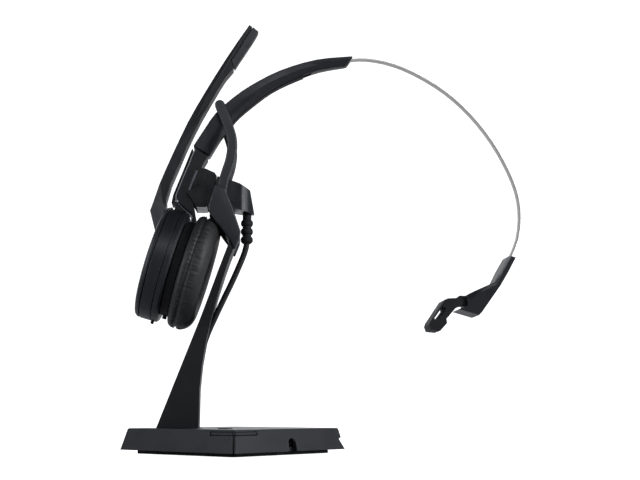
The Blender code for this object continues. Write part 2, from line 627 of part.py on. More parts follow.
TEMPLE_STATIONS = [((149.7, 106.2), (150.62, 105.93), (153.1, 105.2)),
                   ((145.2, 98.8), (146.1, 97.6), (148.3, 96.5)),
                   ((141.6, 91.8), (142.4, 90.4), (144.2, 89.8)),
                   ((135.1, 88.9), (134.5, 86.4), (139.4, 83.2)),
                   ((130.6, 86.9), (129.4, 83.2), (135.8, 78.2)),
                   ((127.1, 85.2), (126.2, 81.4), (132.9, 74.3)),
                   ((125.8, 84.2), (125.7, 80.45), (125.6, 76.7))]


def make_temple(finish, band, temple):
    """The bent arm clipped on the spring band's end, and the pad hinged on it."""
    half = TEMPLE_HALF_WIDTH
    crown = half - 3.0
    rings = []
    for inner, edge, outer in TEMPLE_STATIONS:
        section = [(inner, -crown), (edge, -half), (outer, -half), (outer, half), (edge, half),
                   (inner, crown)]
        rings.append([(place[0], y, place[1]) for place, y in section])
    arm = loft("temple_arm", rings, finish["casing"], band)
    cut(arm, side_plate("band_slot", ribbon([(153.0, 108.7), (148.7, 100.9)], 1.6), -2.2, 2.2,
                        None, band))
    lug = [(126.4, 79.2), (126.4, 84.4), (122.9, 84.6), (119.9, 82.4), (119.6, 79.4),
           (121.4, 78.4)]
    cut(arm, side_plate("hinge_lug", lug, -2.4, 2.4, None, band), "UNION")
    lip = [(128.0, 78.6), (125.4, 78.2), (123.2, 77.4), (120.9, 76.5), (131.9, 73.3),
           (132.6, 74.2)]
    cut(arm, side_plate("hinge_lip", lip, -half + 0.1, half - 0.1, None, band), "UNION")
    x, z = HINGE_POINT
    bore = [(0.0, -9.0), (1.3, -9.0), (1.3, 9.0), (0.0, 9.0)]
    cut(arm, turned("lug_bore", bore, None, band, steps=14, along="Y",
                    place=(x - BAND_CENTRE[0], 0.0, z - BAND_CENTRE[1])))
    pin = [(0.0, -7.0), (1.0, -7.0), (1.0, 7.0), (0.0, 7.0)]
    turned("temple_hinge_pin", pin, finish["magnet"], band, steps=14, along="Y",
           place=(x - BAND_CENTRE[0], 0.0, z - BAND_CENTRE[1]))

    half = PAD_HALF_WIDTH
    outline = [(118.3, 82.6), (115.0, 82.4), (113.2, 81.6), (105.0, 69.6), (104.5, 67.8),
               (105.4, 65.2), (110.5, 64.7), (114.4, 69.0), (114.0, 71.2), (119.4, 77.4),
               (122.6, 78.6), (123.3, 81.0), (122.2, 82.6)]
    pad = side_plate("temple_pad", outline, -half, half, finish["rubber"], temple)
    slot = [(112.0, 77.9), (113.7, 77.2), (113.9, 76.4), (109.7, 70.9), (107.8, 70.8),
            (107.4, 71.6)]
    cut(pad, side_plate("pad_slot", slot, -10.0, 10.0, None, temple))
    cut(pad, side_plate("lug_space", [(118.4, 86.0), (118.4, 76.0), (130.0, 76.0),
                                      (130.0, 86.0)], -2.8, 2.8, None, temple))
    cut(pad, turned("pad_bore", [(0.0, -7.4), (1.3, -7.4), (1.3, 7.4), (0.0, 7.4)], None,
                    temple, steps=14, along="Y"))


# ---------------------------------------------------------------------------- the ear cup
def rim_flat(target, cup):
    """The flat on the rim that makes room for the slider arm."""
    cut(target, box("rim_flat", (CUP_FLAT, -20.0, 50.0), (50.0, 20.0, 69.15), None, cup, True))


def make_cup(finish, cup):
    radius = CUP_RADIUS
    outer = turned("cup_outer_housing",
                   [(16.3, 69.0), (16.3, 67.2), (29.2, 67.2), (29.2, 62.8), (radius, 62.8),
                    (radius, 68.6), (radius - 0.4, 69.0)], finish["casing"], cup)
    rim_flat(outer, cup)
    inner = turned("cup_inner_housing",
                   [(20.0, 60.6), (20.0, 59.0), (radius - 1.0, 59.0), (radius, 60.0),
                    (radius, 62.5), (28.6, 62.5), (28.6, 60.6)], finish["casing"], cup)
    rim_flat(inner, cup)
    neck = turned("cushion_mount", [(18.6, 58.7), (18.6, 54.7), (26.5, 54.7), (26.5, 58.7)],
                  finish["frame"], cup)
    cut(neck, box("pivot_notch", (20.9, -8.2, 54.0), (30.0, 8.2, 60.0), None, cup, True))
    bore = [(0.0, 18.0), (STUB_RADIUS + GAP, 18.0), (STUB_RADIUS + GAP, 24.0), (0.0, 24.0)]
    cut(neck, turned("pivot_bore", bore, None, cup, steps=14, along="X",
                     place=(0.0, 0.0, PIVOT_DEPTH)))
    cut(neck, box("neck_tab", (-28.2, -2.0, 55.2), (-25.0, 2.0, 57.2), None, cup, True), "UNION")

    turned("speaker_driver", [(0.0, 55.2), (8.0, 55.2), (14.8, 54.9), (17.6, 54.9),
                              (17.6, 56.2), (15.0, 57.4), (8.4, 60.2), (8.4, 62.8), (0.0, 62.8)],
           finish["speaker"], cup, steps=28)
    baffle = turned("speaker_grille", [(0.0, 53.4), (16.9, 53.4), (16.9, 54.4), (0.0, 54.4)],
                    finish["frame"], cup, steps=28)
    for k in range(6):
        angle = math.tau * k / 6
        hole = box("sound_hole", (9.0 * math.cos(angle) - 1.4, 9.0 * math.sin(angle) - 1.4, 52.0),
                   (9.0 * math.cos(angle) + 1.4, 9.0 * math.sin(angle) + 1.4, 56.0), None, cup,
                   True)
        cut(baffle, hole)
    cushion = CUSHION_RADIUS
    turned("ear_cushion",
           [(18.6, 54.2), (17.4, 52.6), (15.8, 49.4), (16.2, 45.6), (18.8, 42.4), (22.0, 41.2),
            (25.6, 41.7), (28.8, 43.8), (cushion - 0.6, 46.6), (cushion, 49.6),
            (cushion - 0.4, 52.6), (cushion - 2.4, 54.2)],
           finish["cushion"], cup)
    turned("headset_circuit_board", [(0.0, 63.2), (17.0, 63.2), (17.0, 64.2),
                                             (0.0, 64.2)], finish["board"], cup, steps=24)
    box("headset_battery", (-27.0, -8.6, 61.0), (-18.6, 8.6, 66.8), finish["cell"], cup, True)
    box("antenna_board", (18.4, -9.0, 62.9), (19.4, 9.0, 66.6), finish["board"], cup, True)

    holder = empty_on("call_button_slide", cup, 66.0)
    turned("call_button", [(0.0, -0.6), (2.0, -0.6), (2.0, 0.4), (12.6, 0.4), (12.6, 6.4),
                           (12.0, 6.9), (0.0, 7.3)], finish["plate"], holder, steps=32)
    holder = empty_on("volume_switch_slide", cup, 61.5)
    box("volume_switch", (-32.4, -1.6, -0.6), (-29.5, 1.6, 0.9), finish["rubber"], holder, True)
    switch_slot = box("switch_slot", (-33.0, -3.6, 60.6), (-29.2, 3.6, 62.7), None, cup, True)
    cut(inner, switch_slot)


def empty_on(name, parent, height):
    """An upright-in-parent frame on the parent's own Z axis."""
    holder = bpy.data.objects.new(name, None)
    bpy.context.collection.objects.link(holder)
    holder.parent = parent
    holder.location = (0.0, 0.0, height * MM)
    bpy.context.view_layer.update()
    return holder


BOOM_BACK = [(-47.0, 129.4), (-45.5, 133.4), (-42.4, 142.3), (-39.0, 151.2), (-35.4, 160.2),
             (-31.6, 169.3), (-27.5, 178.8), (-22.9, 188.0), (-17.9, 197.3), (-12.6, 206.7),
             (-7.1, 216.1), (-1.2, 225.7), (5.7, 236.4)]
BOOM_SEAM = [(7.3, 235.2), (-3.3, 216.9), (-4.5, 215.7), (-2.7, 210.9)]
BOOM_FRONT = [(-3.8, 209.5), (-7.1, 205.3), (-9.9, 200.5), (-15.2, 190.9), (-20.2, 181.4),
              (-24.6, 172.1), (-28.5, 163.1), (-32.1, 153.8), (-35.8, 144.6), (-38.3, 135.4),
              (-38.2, 132.3)]


def boom_half_width(height):
    """Half the boom's width, which narrows towards the microphone."""
    return 7.0 - 2.6 * max(0.0, min(1.0, (height - 135.0) / 60.0))


def make_boom(finish, cup, boom):
    turned("boom_hub", [(13.0, 73.0), (13.0, 66.4), (16.0, 66.4), (16.0, 69.3),
                        (30.9, 69.3), (30.7, 70.4), (29.8, 71.6), (27.8, 72.2),
                        (20.0, 72.6)], finish["casing"], cup)
    outline = BOOM_BACK + BOOM_SEAM + BOOM_FRONT + [
        cup_point(73.0, 116.2), cup_point(73.0, 101.0), cup_point(74.2, 100.4)]
    rings = []
    for direction in (-1.0, 1.0):
        rings.append([(x, boom_half_width(z) * direction, z) for x, z in outline])
    loft("boom_arm", rings, finish["boom"], boom)
    half = boom_half_width(BOOM_SEAM[0][1])
    cover = [(7.8, 235.1), (10.9, 233.3), (8.9, 229.3), (6.0, 224.5), (3.1, 219.7),
             (0.1, 214.9), (-2.0, 211.2), (-4.1, 215.5), (-2.9, 216.8)]
    mouth = side_plate("mic_cover", cover, -half, half, finish["boom"], boom)
    hollow = [(3.0, 224.5), (5.7, 229.2), (7.2, 228.3), (4.5, 223.7)]
    cut(mouth, side_plate("mic_pocket", hollow, -2.9, 2.9, None, boom))
    port = side_plate("mic_port", [(5.4, 225.4), (6.4, 227.1), (10.2, 224.9), (9.2, 223.2)],
                      -0.7, 0.7, None, boom)
    cut(mouth, port)
    capsule = [(3.5, 224.7), (5.8, 228.6), (6.7, 228.1), (4.4, 224.2)]
    side_plate("mic_capsule", capsule, -2.5, 2.5, finish["speaker"], boom)


# ------------------------------------------------------------------------------ assembly
def main():
    for item in list(bpy.data.objects):
        bpy.data.objects.remove(item, do_unlink=True)
    finish = make_finishes()
    make_base(finish)
    make_post(finish)
    make_dock(finish)
    make_strain_relief(finish)
    make_lead(finish)

    turn = (0.0, CUP_TILT - math.radians(90.0), 0.0)
    axis_x, axis_z = cup_point(0.0, CUP_AXIS_HEIGHT)
    headset = empty("headset_lift", (0.0, 0.0, 0.0))
    band = empty("size_adjust", (BAND_CENTRE[0], 0.0, BAND_CENTRE[1]))
    temple = empty("temple_tilt", (HINGE_POINT[0], 0.0, HINGE_POINT[1]))
    pivot_x, pivot_z = cup_point(PIVOT_DEPTH, CUP_AXIS_HEIGHT)
    swivel = empty("cup_swivel", (pivot_x, 0.0, pivot_z))
    cup = empty("cup_axis", (axis_x, 0.0, axis_z), turn, swivel)
    boom = empty("boom_turn", (axis_x, 0.0, axis_z))
    make_slider(finish, headset)
    make_band(finish, band)
    make_temple(finish, band, temple)
    make_cup(finish, cup)
    make_boom(finish, cup, boom)


main()
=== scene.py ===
"""A single-sided wireless office headset hanging on its charging stand.

The CAD frame gives every piece its place.  This file gives the pieces their looks: rounded moulded
edges, a stitched ear cushion, a perforated speaker cover, ribs, screws, and all the finishes.
Sizes in the geometry functions are millimetres in the frame of the CAD, and MM makes them metres.
"""

import json
import math
import random

import bmesh
import bpy
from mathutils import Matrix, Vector, noise

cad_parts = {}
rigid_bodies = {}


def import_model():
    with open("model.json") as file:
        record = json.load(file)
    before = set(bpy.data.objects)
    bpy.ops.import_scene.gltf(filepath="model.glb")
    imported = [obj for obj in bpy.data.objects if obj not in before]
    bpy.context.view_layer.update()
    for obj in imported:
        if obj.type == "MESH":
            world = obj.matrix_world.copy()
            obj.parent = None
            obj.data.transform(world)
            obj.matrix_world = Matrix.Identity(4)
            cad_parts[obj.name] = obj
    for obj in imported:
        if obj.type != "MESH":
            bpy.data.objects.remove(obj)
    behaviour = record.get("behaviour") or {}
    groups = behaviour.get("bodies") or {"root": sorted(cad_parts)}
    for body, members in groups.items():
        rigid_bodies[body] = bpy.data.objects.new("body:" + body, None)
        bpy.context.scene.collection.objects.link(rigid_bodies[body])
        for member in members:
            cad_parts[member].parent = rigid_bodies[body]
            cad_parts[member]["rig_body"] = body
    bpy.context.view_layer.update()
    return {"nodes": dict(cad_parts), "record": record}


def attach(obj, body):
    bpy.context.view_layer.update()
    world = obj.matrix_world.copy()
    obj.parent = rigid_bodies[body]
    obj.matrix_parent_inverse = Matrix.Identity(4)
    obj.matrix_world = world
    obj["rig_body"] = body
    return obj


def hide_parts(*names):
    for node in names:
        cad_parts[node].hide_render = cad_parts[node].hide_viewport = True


bl_info = {
    "name": "Office headset on its charging stand",
    "version": (1, 0, 0),
    "blender": (4, 5, 0),
    "location": "View3D > Sidebar > Headset",
    "description": "Builds the looks of an office headset and its charging stand on the CAD frame",
    "category": "Object",
}

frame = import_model()

MM = 0.001
MERGE_DISTANCE = 1e-6
CUT_DISTANCE = 1e-7
FLAT_ANGLE = math.radians(0.6)
PLASTIC_SPECULAR = 0.36
CUP_TILT = math.radians(16.0)
CUP_AXIS_HEIGHT = 85.7
FACE_UP = Vector((math.sin(CUP_TILT), 0.0, math.cos(CUP_TILT)))
FACE_OUT = Vector((-math.cos(CUP_TILT), 0.0, math.sin(CUP_TILT)))
CUP_ORIGIN = FACE_UP * CUP_AXIS_HEIGHT
CUP_TURN = (0.0, CUP_TILT - math.radians(90.0), 0.0)


# ------------------------------------------------------------------------ what a user may change
class HeadsetSizes(bpy.types.PropertyGroup):
    casing_edge: bpy.props.FloatProperty(
        name="Casing edge", description="Radius of the rounded edges on the moulded casings",
        default=0.0006, min=0.0001, max=0.0015, unit="LENGTH")
    plate_chamfer: bpy.props.FloatProperty(
        name="Plate chamfer", description="Width of the chamfer round the stand's side plates",
        default=0.0010, min=0.0002, max=0.0012, unit="LENGTH")
    cushion_swell: bpy.props.FloatProperty(
        name="Cushion swell", description="How far the ear cushion may swell under its filling",
        default=0.0008, min=0.0, max=0.003, unit="LENGTH")
    cushion_crease: bpy.props.FloatProperty(
        name="Cushion creases", description="Depth of the gathers in the ear cushion's cover",
        default=0.0003, min=0.0, max=0.0015, unit="LENGTH")
    stitch_count: bpy.props.IntProperty(
        name="Stitches", description="Stitches along the ear cushion's seam",
        default=72, min=12, max=160)
    hole_pitch: bpy.props.FloatProperty(
        name="Speaker hole pitch", description="Distance between the holes over the speaker",
        default=0.0019, min=0.0012, max=0.004, unit="LENGTH")
    screw_head: bpy.props.FloatProperty(
        name="Screw head", description="Radius of the screw heads under the base",
        default=0.0023, min=0.0015, max=0.0026, unit="LENGTH")
    camera_distance: bpy.props.FloatProperty(
        name="Camera distance", description="How far the camera stands in front of the stand",
        default=0.555, min=0.2, max=2.0, unit="LENGTH")


class HeadsetColours(bpy.types.PropertyGroup):
    casing: bpy.props.FloatVectorProperty(
        name="Casing", description="Moulded casings of the headset, dock head and base",
        subtype="COLOR", size=3, default=(0.0076, 0.0080, 0.0104), min=0.0, max=1.0)
    stand: bpy.props.FloatVectorProperty(
        name="Post", description="Matt plastic of the stand's post and the slider arm",
        subtype="COLOR", size=3, default=(0.0022, 0.0023, 0.0030), min=0.0, max=1.0)
    plate: bpy.props.FloatVectorProperty(
        name="Side plates", description="Satin plastic of the side plates and prongs",
        subtype="COLOR", size=3, default=(0.0142, 0.0148, 0.0180), min=0.0, max=1.0)
    boom: bpy.props.FloatVectorProperty(
        name="Boom", description="Matt plastic of the microphone boom",
        subtype="COLOR", size=3, default=(0.0026, 0.0024, 0.0040), min=0.0, max=1.0)
    leatherette: bpy.props.FloatVectorProperty(
        name="Leatherette", description="Cover of the ear cushion",
        subtype="COLOR", size=3, default=(0.0010, 0.0010, 0.0015), min=0.0, max=1.0)
    rubber: bpy.props.FloatVectorProperty(
        name="Rubber", description="Foot pad, temple pad, boot and volume switch",
        subtype="COLOR", size=3, default=(0.0035, 0.0036, 0.0040), min=0.0, max=1.0)
    steel: bpy.props.FloatVectorProperty(
        name="Spring steel", description="Spring band over the head",
        subtype="COLOR", size=3, default=(0.020, 0.020, 0.021), min=0.0, max=1.0)
    floor: bpy.props.FloatVectorProperty(
        name="Floor", description="Plain floor that the stand is on",
        subtype="COLOR", size=3, default=(0.46, 0.465, 0.48), min=0.0, max=1.0)


# -------------------------------------------------------------------------------- node helpers
class Nodes:
    """Adds nodes to a tree, sets their values and joins them."""

    def __init__(self, tree):
        self.tree = tree

    def add(self, kind, settings=None, **inputs):
        node = self.tree.nodes.new(kind)
        for key, value in (settings or {}).items():
            setattr(node, key, value)
        for key, value in inputs.items():
            self.feed(node.inputs[key.replace("_", " ")], value)
        return node

    def feed(self, socket, value):
        if isinstance(value, bpy.types.NodeSocket):
            self.tree.links.new(value, socket)
        else:
            socket.default_value = value

    def math(self, operation, first, second=0.0):
        node = self.tree.nodes.new("ShaderNodeMath")
        node.operation = operation
        self.feed(node.inputs[0], first)
        self.feed(node.inputs[1], second)
        return node.outputs[0]

    def noise(self, where, scale, detail=3.0, distortion=0.0):
        return self.add("ShaderNodeTexNoise", None, Vector=where, Scale=scale, Detail=detail,
                        Distortion=distortion).outputs[0]

    def spread(self, value, low, high, start=0.3, end=0.7):
        node = self.add("ShaderNodeMapRange", None, Value=value)
        for key, number in (("From Min", start), ("From Max", end), ("To Min", low),
                            ("To Max", high)):
            node.inputs[key].default_value = number
        return node.outputs[0]

    def tint(self, share, dark, light):
        node = self.tree.nodes.new("ShaderNodeMix")
        node.data_type = "RGBA"
        self.feed(node.inputs["Factor"], share)
        node.inputs["A"].default_value = (*dark, 1.0)
        node.inputs["B"].default_value = (*light, 1.0)
        return node.outputs["Result"]

    def bump(self, height, depth, under=None):
        node = self.add("ShaderNodeBump", None, Height=height, Distance=depth)
        if under:
            self.tree.links.new(under, node.inputs["Normal"])
        return node.outputs[0]


def new_material(name, roughness, metallic=0.0, **values):
    """A material with its shader and its Object coordinates."""
    made = bpy.data.materials.new(name)
    made.use_nodes = True
    shader = made.node_tree.nodes["Principled BSDF"]
    shader.inputs["Roughness"].default_value = roughness
    shader.inputs["Metallic"].default_value = metallic
    for key, value in values.items():
        shader.inputs[key.replace("_", " ")].default_value = value
    nodes = Nodes(made.node_tree)
    where = nodes.add("ShaderNodeTexCoord").outputs["Object"]
    return made, nodes, shader, where


def scaled(colour, share):
    """A colour made darker or lighter, up to white."""
    return tuple(min(1.0, c * share) for c in colour)


def mottle(nodes, shader, where, colour, size, detail, dark, light):
    """Slow changes of tone between a darker and a lighter share of the colour."""
    cloud = nodes.noise(where, size, detail)
    nodes.feed(shader.inputs["Base Color"],
               nodes.tint(nodes.spread(cloud, 0.0, 1.0), scaled(colour, dark),
                          scaled(colour, light)))


def moulded(name, colour, roughness, grain=0.00030, depth=0.000012, **values):
    """Moulded plastic: a fine spark texture, slow changes of tone, and faint rubbed patches."""
    made, nodes, shader, where = new_material(name, roughness, **values)
    shader.inputs["Specular IOR Level"].default_value = PLASTIC_SPECULAR
    mottle(nodes, shader, where, colour, 38.0, 4.0, 0.84, 1.18)
    rubbed = nodes.noise(where, 110.0, 5.0, 0.4)
    nodes.feed(shader.inputs["Roughness"],
               nodes.spread(rubbed, roughness - 0.05, roughness + 0.07))
    fine = nodes.noise(where, 1.0 / grain, 2.0)
    nodes.feed(shader.inputs["Normal"], nodes.bump(fine, depth))
    return made


def finish_table(colours):
    """Each finish by name: its maker, and what the maker takes after the name."""
    return {
        "casing_satin": (moulded, colours.casing, 0.42),
        "stand_matt": (moulded, colours.stand, 0.52, 0.00038, 0.000016),
        "plate_satin": (moulded, colours.plate, 0.40),
        # painted highlight: the side plates' colour made five times lighter, for the slim bars on
        # the dock head
        "bar_satin": (moulded, scaled(colours.plate, 5.0), 0.36),
        "dock_satin": (moulded, colours.casing, 0.30, 0.0004, 0.000006),
        "dock_gloss": (moulded, scaled(colours.stand, 0.7), 0.27, 0.0006, 0.000003),
        "boom_matt": (moulded, colours.boom, 0.46, 0.00034, 0.000014),
        # near-black rubber; also painted shade, since the cushion mount wears it to darken the
        # shadowed neck of the cup
        "rubber_matt": (moulded, colours.rubber, 0.72, 0.00022, 0.00001),
        "cable_jacket": (moulded, scaled(colours.rubber, 1.25), 0.50, 0.00018, 0.000008),
        "driver_frame": (moulded, (0.045, 0.045, 0.047), 0.45),
        "battery_wrap": (moulded, (0.10, 0.13, 0.30), 0.34, 0.0009, 0.00001),
        "smoked_lens": (make_lens,),
        "leatherette": (make_leatherette, colours.leatherette),
        "thread": (make_thread,),
        "spring_steel": (make_steel, colours.steel, 0.30, (260.0, 2600.0, 260.0)),
        "leaf_steel": (make_steel, scaled(colours.steel, 13.5), 0.42, (2200.0, 260.0, 260.0)),
        "nickel_plate": (make_steel, (0.56, 0.55, 0.53), 0.26, (900.0, 900.0, 900.0)),
        "ballast_plate": (make_steel, (0.30, 0.30, 0.31), 0.48, (300.0, 1500.0, 300.0)),
        "contact_gold": (make_steel, (0.86, 0.60, 0.24), 0.24, (1200.0, 1200.0, 1200.0)),
        "circuit_board": (make_board,),
    }


def make_finish(key):
    """The finish of that name, made the first time it is asked for."""
    found = bpy.data.materials.get(key)
    if found:
        return found
    maker, *values = finish_table(bpy.context.scene.headset_colours)[key]
    return maker(key, *values)


def make_lens(name):
    """Smoked clear plastic under a hard coat."""
    return moulded(name, (0.012, 0.012, 0.014), 0.16, 0.0006, 0.000002, Coat_Weight=0.6,
                   Coat_Roughness=0.06)


def make_leatherette(name, colour):
    """Soft leatherette: pebbled grain with fine creases, and a dull sheen."""
    made, nodes, shader, where = new_material(name, 0.33, Sheen_Weight=0.05,
                                              Sheen_Roughness=0.5)
    mottle(nodes, shader, where, colour, 60.0, 4.0, 0.8, 1.3)
    cells = nodes.add("ShaderNodeTexVoronoi", {"feature": "DISTANCE_TO_EDGE"}, Vector=where,
                      Scale=1300.0).outputs["Distance"]
    pebble = nodes.bump(nodes.spread(cells, 0.0, 1.0, 0.0, 0.25), 0.00003)
    creases = nodes.noise(where, 420.0, 5.0, 1.2)
    nodes.feed(shader.inputs["Normal"], nodes.bump(creases, 0.00009, pebble))
    nodes.feed(shader.inputs["Roughness"], nodes.spread(creases, 0.26, 0.42))
    return made


def make_thread(name):
    """Twisted black thread."""
    made, nodes, shader, where = new_material(name, 0.7)
    twist = nodes.add("ShaderNodeTexWave", None, Vector=where, Scale=1500.0,
                      Distortion=1.0).outputs[0]
    nodes.feed(shader.inputs["Base Color"],
               nodes.tint(twist, (0.010, 0.010, 0.011), (0.022, 0.022, 0.024)))
    nodes.feed(shader.inputs["Normal"], nodes.bump(twist, 0.00004))
    return made


def make_steel(name, colour, roughness, stretch):
    """Metal with drawn or brushed streaks, closer together along the axes of larger stretch."""
    made, nodes, shader, where = new_material(name, roughness, metallic=1.0)
    shader.inputs["Specular Tint"].default_value = (*scaled(colour, 5.0), 1.0)
    mapping = nodes.add("ShaderNodeMapping", None, Vector=where, Scale=stretch)
    streaks = nodes.noise(mapping.outputs[0], 1.0, 3.0)
    mottle(nodes, shader, where, colour, 70.0, 3.0, 0.88, 1.06)
    nodes.feed(shader.inputs["Roughness"],
               nodes.spread(streaks, roughness - 0.06, roughness + 0.10))
    nodes.feed(shader.inputs["Normal"], nodes.bump(streaks, 0.000006))
    return made


def make_board(name):
    """Green solder mask with paler tracks and rows of tinned pads."""
    made, nodes, shader, where = new_material(name, 0.38)
    tracks = nodes.add("ShaderNodeTexBrick", {"offset": 0.5}, Vector=where, Scale=160.0,
                       Color1=(0.010, 0.075, 0.030, 1.0), Color2=(0.014, 0.095, 0.038, 1.0),
                       Mortar=(0.030, 0.150, 0.060, 1.0)).outputs["Color"]
    pads = nodes.add("ShaderNodeTexVoronoi", None, Vector=where,
                     Scale=420.0).outputs["Distance"]
    spots = nodes.math("LESS_THAN", pads, 0.16)
    mixed = nodes.add("ShaderNodeMix", {"data_type": "RGBA"})
    nodes.feed(mixed.inputs["Factor"], spots)
    nodes.feed(mixed.inputs["A"], tracks)
    mixed.inputs["B"].default_value = (0.55, 0.53, 0.48, 1.0)
    nodes.feed(shader.inputs["Base Color"], mixed.outputs["Result"])
    nodes.feed(shader.inputs["Metallic"], spots)
    return made


# ------------------------------------------------------------------------------ mesh helpers
def paint(mesh, key):
    mesh.materials.clear()
    mesh.materials.append(make_finish(key))


def new_object(name, mesh, key=None):
    item = bpy.data.objects.new(name, mesh)
    bpy.context.scene.collection.objects.link(item)
    if key:
        paint(mesh, key)
    return item


def mesh_from(name, points, faces, key, scale=MM):
    """An object from points in millimetres, with its faces turned outwards."""
    mesh = bpy.data.meshes.new(name)
    mesh.from_pydata([tuple(Vector(p) * scale) for p in points], [], faces)
    shape = bmesh.new()
    shape.from_mesh(mesh)
    bmesh.ops.recalc_face_normals(shape, faces=shape.faces)
    shape.to_mesh(mesh)
    shape.free()
    return new_object(name, mesh, key)


def lathe_rows(section, steps):
    """Points and faces of a section of (radius, height) turned about Z."""
    points = []
    rows = []
    for radius, height in section:
        first = len(points)
        if radius == 0.0:
            points.append((0.0, 0.0, height))
            rows.append([first] * steps)
            continue
        for k in range(steps):
            angle = math.tau * k / steps
            points.append((radius * math.cos(angle), radius * math.sin(angle), height))
        rows.append([first + k for k in range(steps)])
    if section[0][0] > 0.0:
        rows.append(rows[0])
    faces = []
    for low, high in zip(rows, rows[1:]):
        for k in range(steps):
            after = (k + 1) % steps
            corners = tuple(dict.fromkeys((low[k], low[after], high[after], high[k])))
            if len(corners) > 2:
                faces.append(corners)
    return points, faces


def on_cup(points):
    """World millimetres of the cup's own points: up its face, across it, out along its axis."""
    placed = []
    for up, across, out in points:
        placed.append(tuple(CUP_ORIGIN + FACE_UP * up + Vector((0.0, across, 0.0))
                            + FACE_OUT * out))
    return placed


def settle(item, key=None):
    """Turns an object's live modifiers into its plain mesh."""
    view = bpy.context.evaluated_depsgraph_get()
    view.update()
    mesh = bpy.data.meshes.new_from_object(item.evaluated_get(view))
    mesh.name = item.name
    item.modifiers.clear()
    old = item.data
    item.data = mesh
    bpy.data.meshes.remove(old)
    if key:
        paint(mesh, key)


def round_edges(item, width, segments=3, angle=32.0):
    """Rounds the sharp edges and keeps the flats flat."""
    bevel = item.modifiers.new("Rounded edges", "BEVEL")
    bevel.width = width
    bevel.segments = segments
    bevel.limit_method = "ANGLE"
    bevel.angle_limit = math.radians(angle)
    bevel.miter_outer = "MITER_ARC"
    item.data.shade_smooth()
    level = item.modifiers.new("Flat faces", "WEIGHTED_NORMAL")
    level.weight = 100
    level.use_face_influence = False


def slice_shape(shape, where, across, clear=False):
    """Cuts a shape by a plane, and with clear takes away what lies on the plane's far side."""
    everything = shape.verts[:] + shape.edges[:] + shape.faces[:]
    made = bmesh.ops.bisect_plane(shape, geom=everything, dist=CUT_DISTANCE,
                                  plane_co=Vector(where) * MM,
                                  plane_no=Vector(across).normalized(), clear_outer=clear)
    if clear:
        rim = [e for e in made["geom_cut"] if isinstance(e, bmesh.types.BMEdge)]
        bmesh.ops.edgeloop_fill(shape, edges=rim)


def facet(start, end, lean, side):
    """A cut that slopes away from the crease between two (x, z) points on both flanks."""
    def change(shape):
        for y, direction in ((-side, -1.0), (side, 1.0)):
            first = Vector((start[0], y, start[1]))
            along = Vector((end[0], y, end[1])) - first
            outward = Vector((along.z, 0.0, -along.x)).normalized()
            slope = outward * math.sin(lean) + Vector((0.0, direction, 0.0)) * math.cos(lean)
            slice_shape(shape, first, slope, clear=True)
    return change


def narrowed(start, end, share, steps):
    """Rounds a piece in plan: its width closes in from x = start to x = end."""
    def change(shape):
        for k in range(steps):
            slice_shape(shape, (start + (end - start) * k / steps, 0.0, 0.0), (1.0, 0.0, 0.0))
        for vert in shape.verts:
            way = max(0.0, (vert.co.x / MM - start) / (end - start))
            vert.co.y *= 1.0 - share * (1.0 - math.sqrt(max(0.0, 1.0 - min(1.0, way) ** 2)))
    return change


def rounded_copy(node, key, width, segments=3, angle=32.0, changes=()):
    """A copy of a CAD node with its corners merged and its edges rounded, standing for it."""
    source = frame["nodes"][node]
    shape = bmesh.new()
    shape.from_mesh(source.data)
    bmesh.ops.remove_doubles(shape, verts=shape.verts, dist=MERGE_DISTANCE)
    bmesh.ops.dissolve_limit(shape, angle_limit=FLAT_ANGLE, verts=shape.verts,
                             edges=shape.edges)
    for change in changes:
        change(shape)
    bmesh.ops.recalc_face_normals(shape, faces=shape.faces)
    mesh = bpy.data.meshes.new(f"{node}_moulded")
    shape.to_mesh(mesh)
    shape.free()
    item = new_object(f"{node}_moulded", mesh, key)
    if width:
        round_edges(item, width, segments, angle)
        settle(item)
    stand_for(item, slot_of(node), node)


def slot_of(node):
    for part in frame["record"]["subparts"]:
        if part["node"] == node:
            return part["material_slot"]
    raise RuntimeError(f"{node} has no slot in the record")


def body_of(node):
    return frame["nodes"][node]["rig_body"]


def stand_for(item, slot, *nodes):
    """The piece rides on the body of the CAD nodes it stands for, and those nodes are hidden; slot
    is not used.
    """
    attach(item, body_of(nodes[0]))
    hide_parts(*nodes)


def finish_nodes(names, key):
    """Gives CAD nodes that stay as they are a finish of their own."""
    for name in names:
        paint(frame["nodes"][name].data, key)


def smooth_route(points, steps):
    """Points on the smooth curve that passes through the given ones."""
    ends = [Vector(p) for p in points]
    ends = [2 * ends[0] - ends[1]] + ends + [2 * ends[-1] - ends[-2]]
    curve = []
    for k in range(1, len(ends) - 2):
        a, b, c, d = ends[k - 1:k + 3]
        for j in range(steps):
            t = j / steps
            curve.append(0.5 * (2 * b + (c - a) * t + (2 * a - 5 * b + 4 * c - d) * t * t
                                + (3 * b - a - 3 * c + d) * t ** 3))
    return curve + [ends[-2]]


# -------------------------------------------------------------------------- geometry node trees
def new_tree(name, sockets):
    """A geometry tree with a geometry output and the named inputs, and its input node."""
    tree = bpy.data.node_groups.new(name, "GeometryNodeTree")
    tree.interface.new_socket(name="Geometry", in_out="OUTPUT", socket_type="NodeSocketGeometry")
    for label, kind in sockets:
        tree.interface.new_socket(name=label, in_out="INPUT", socket_type=f"NodeSocket{kind}")
    nodes = Nodes(tree)
    return tree, nodes, nodes.add("NodeGroupInput").outputs


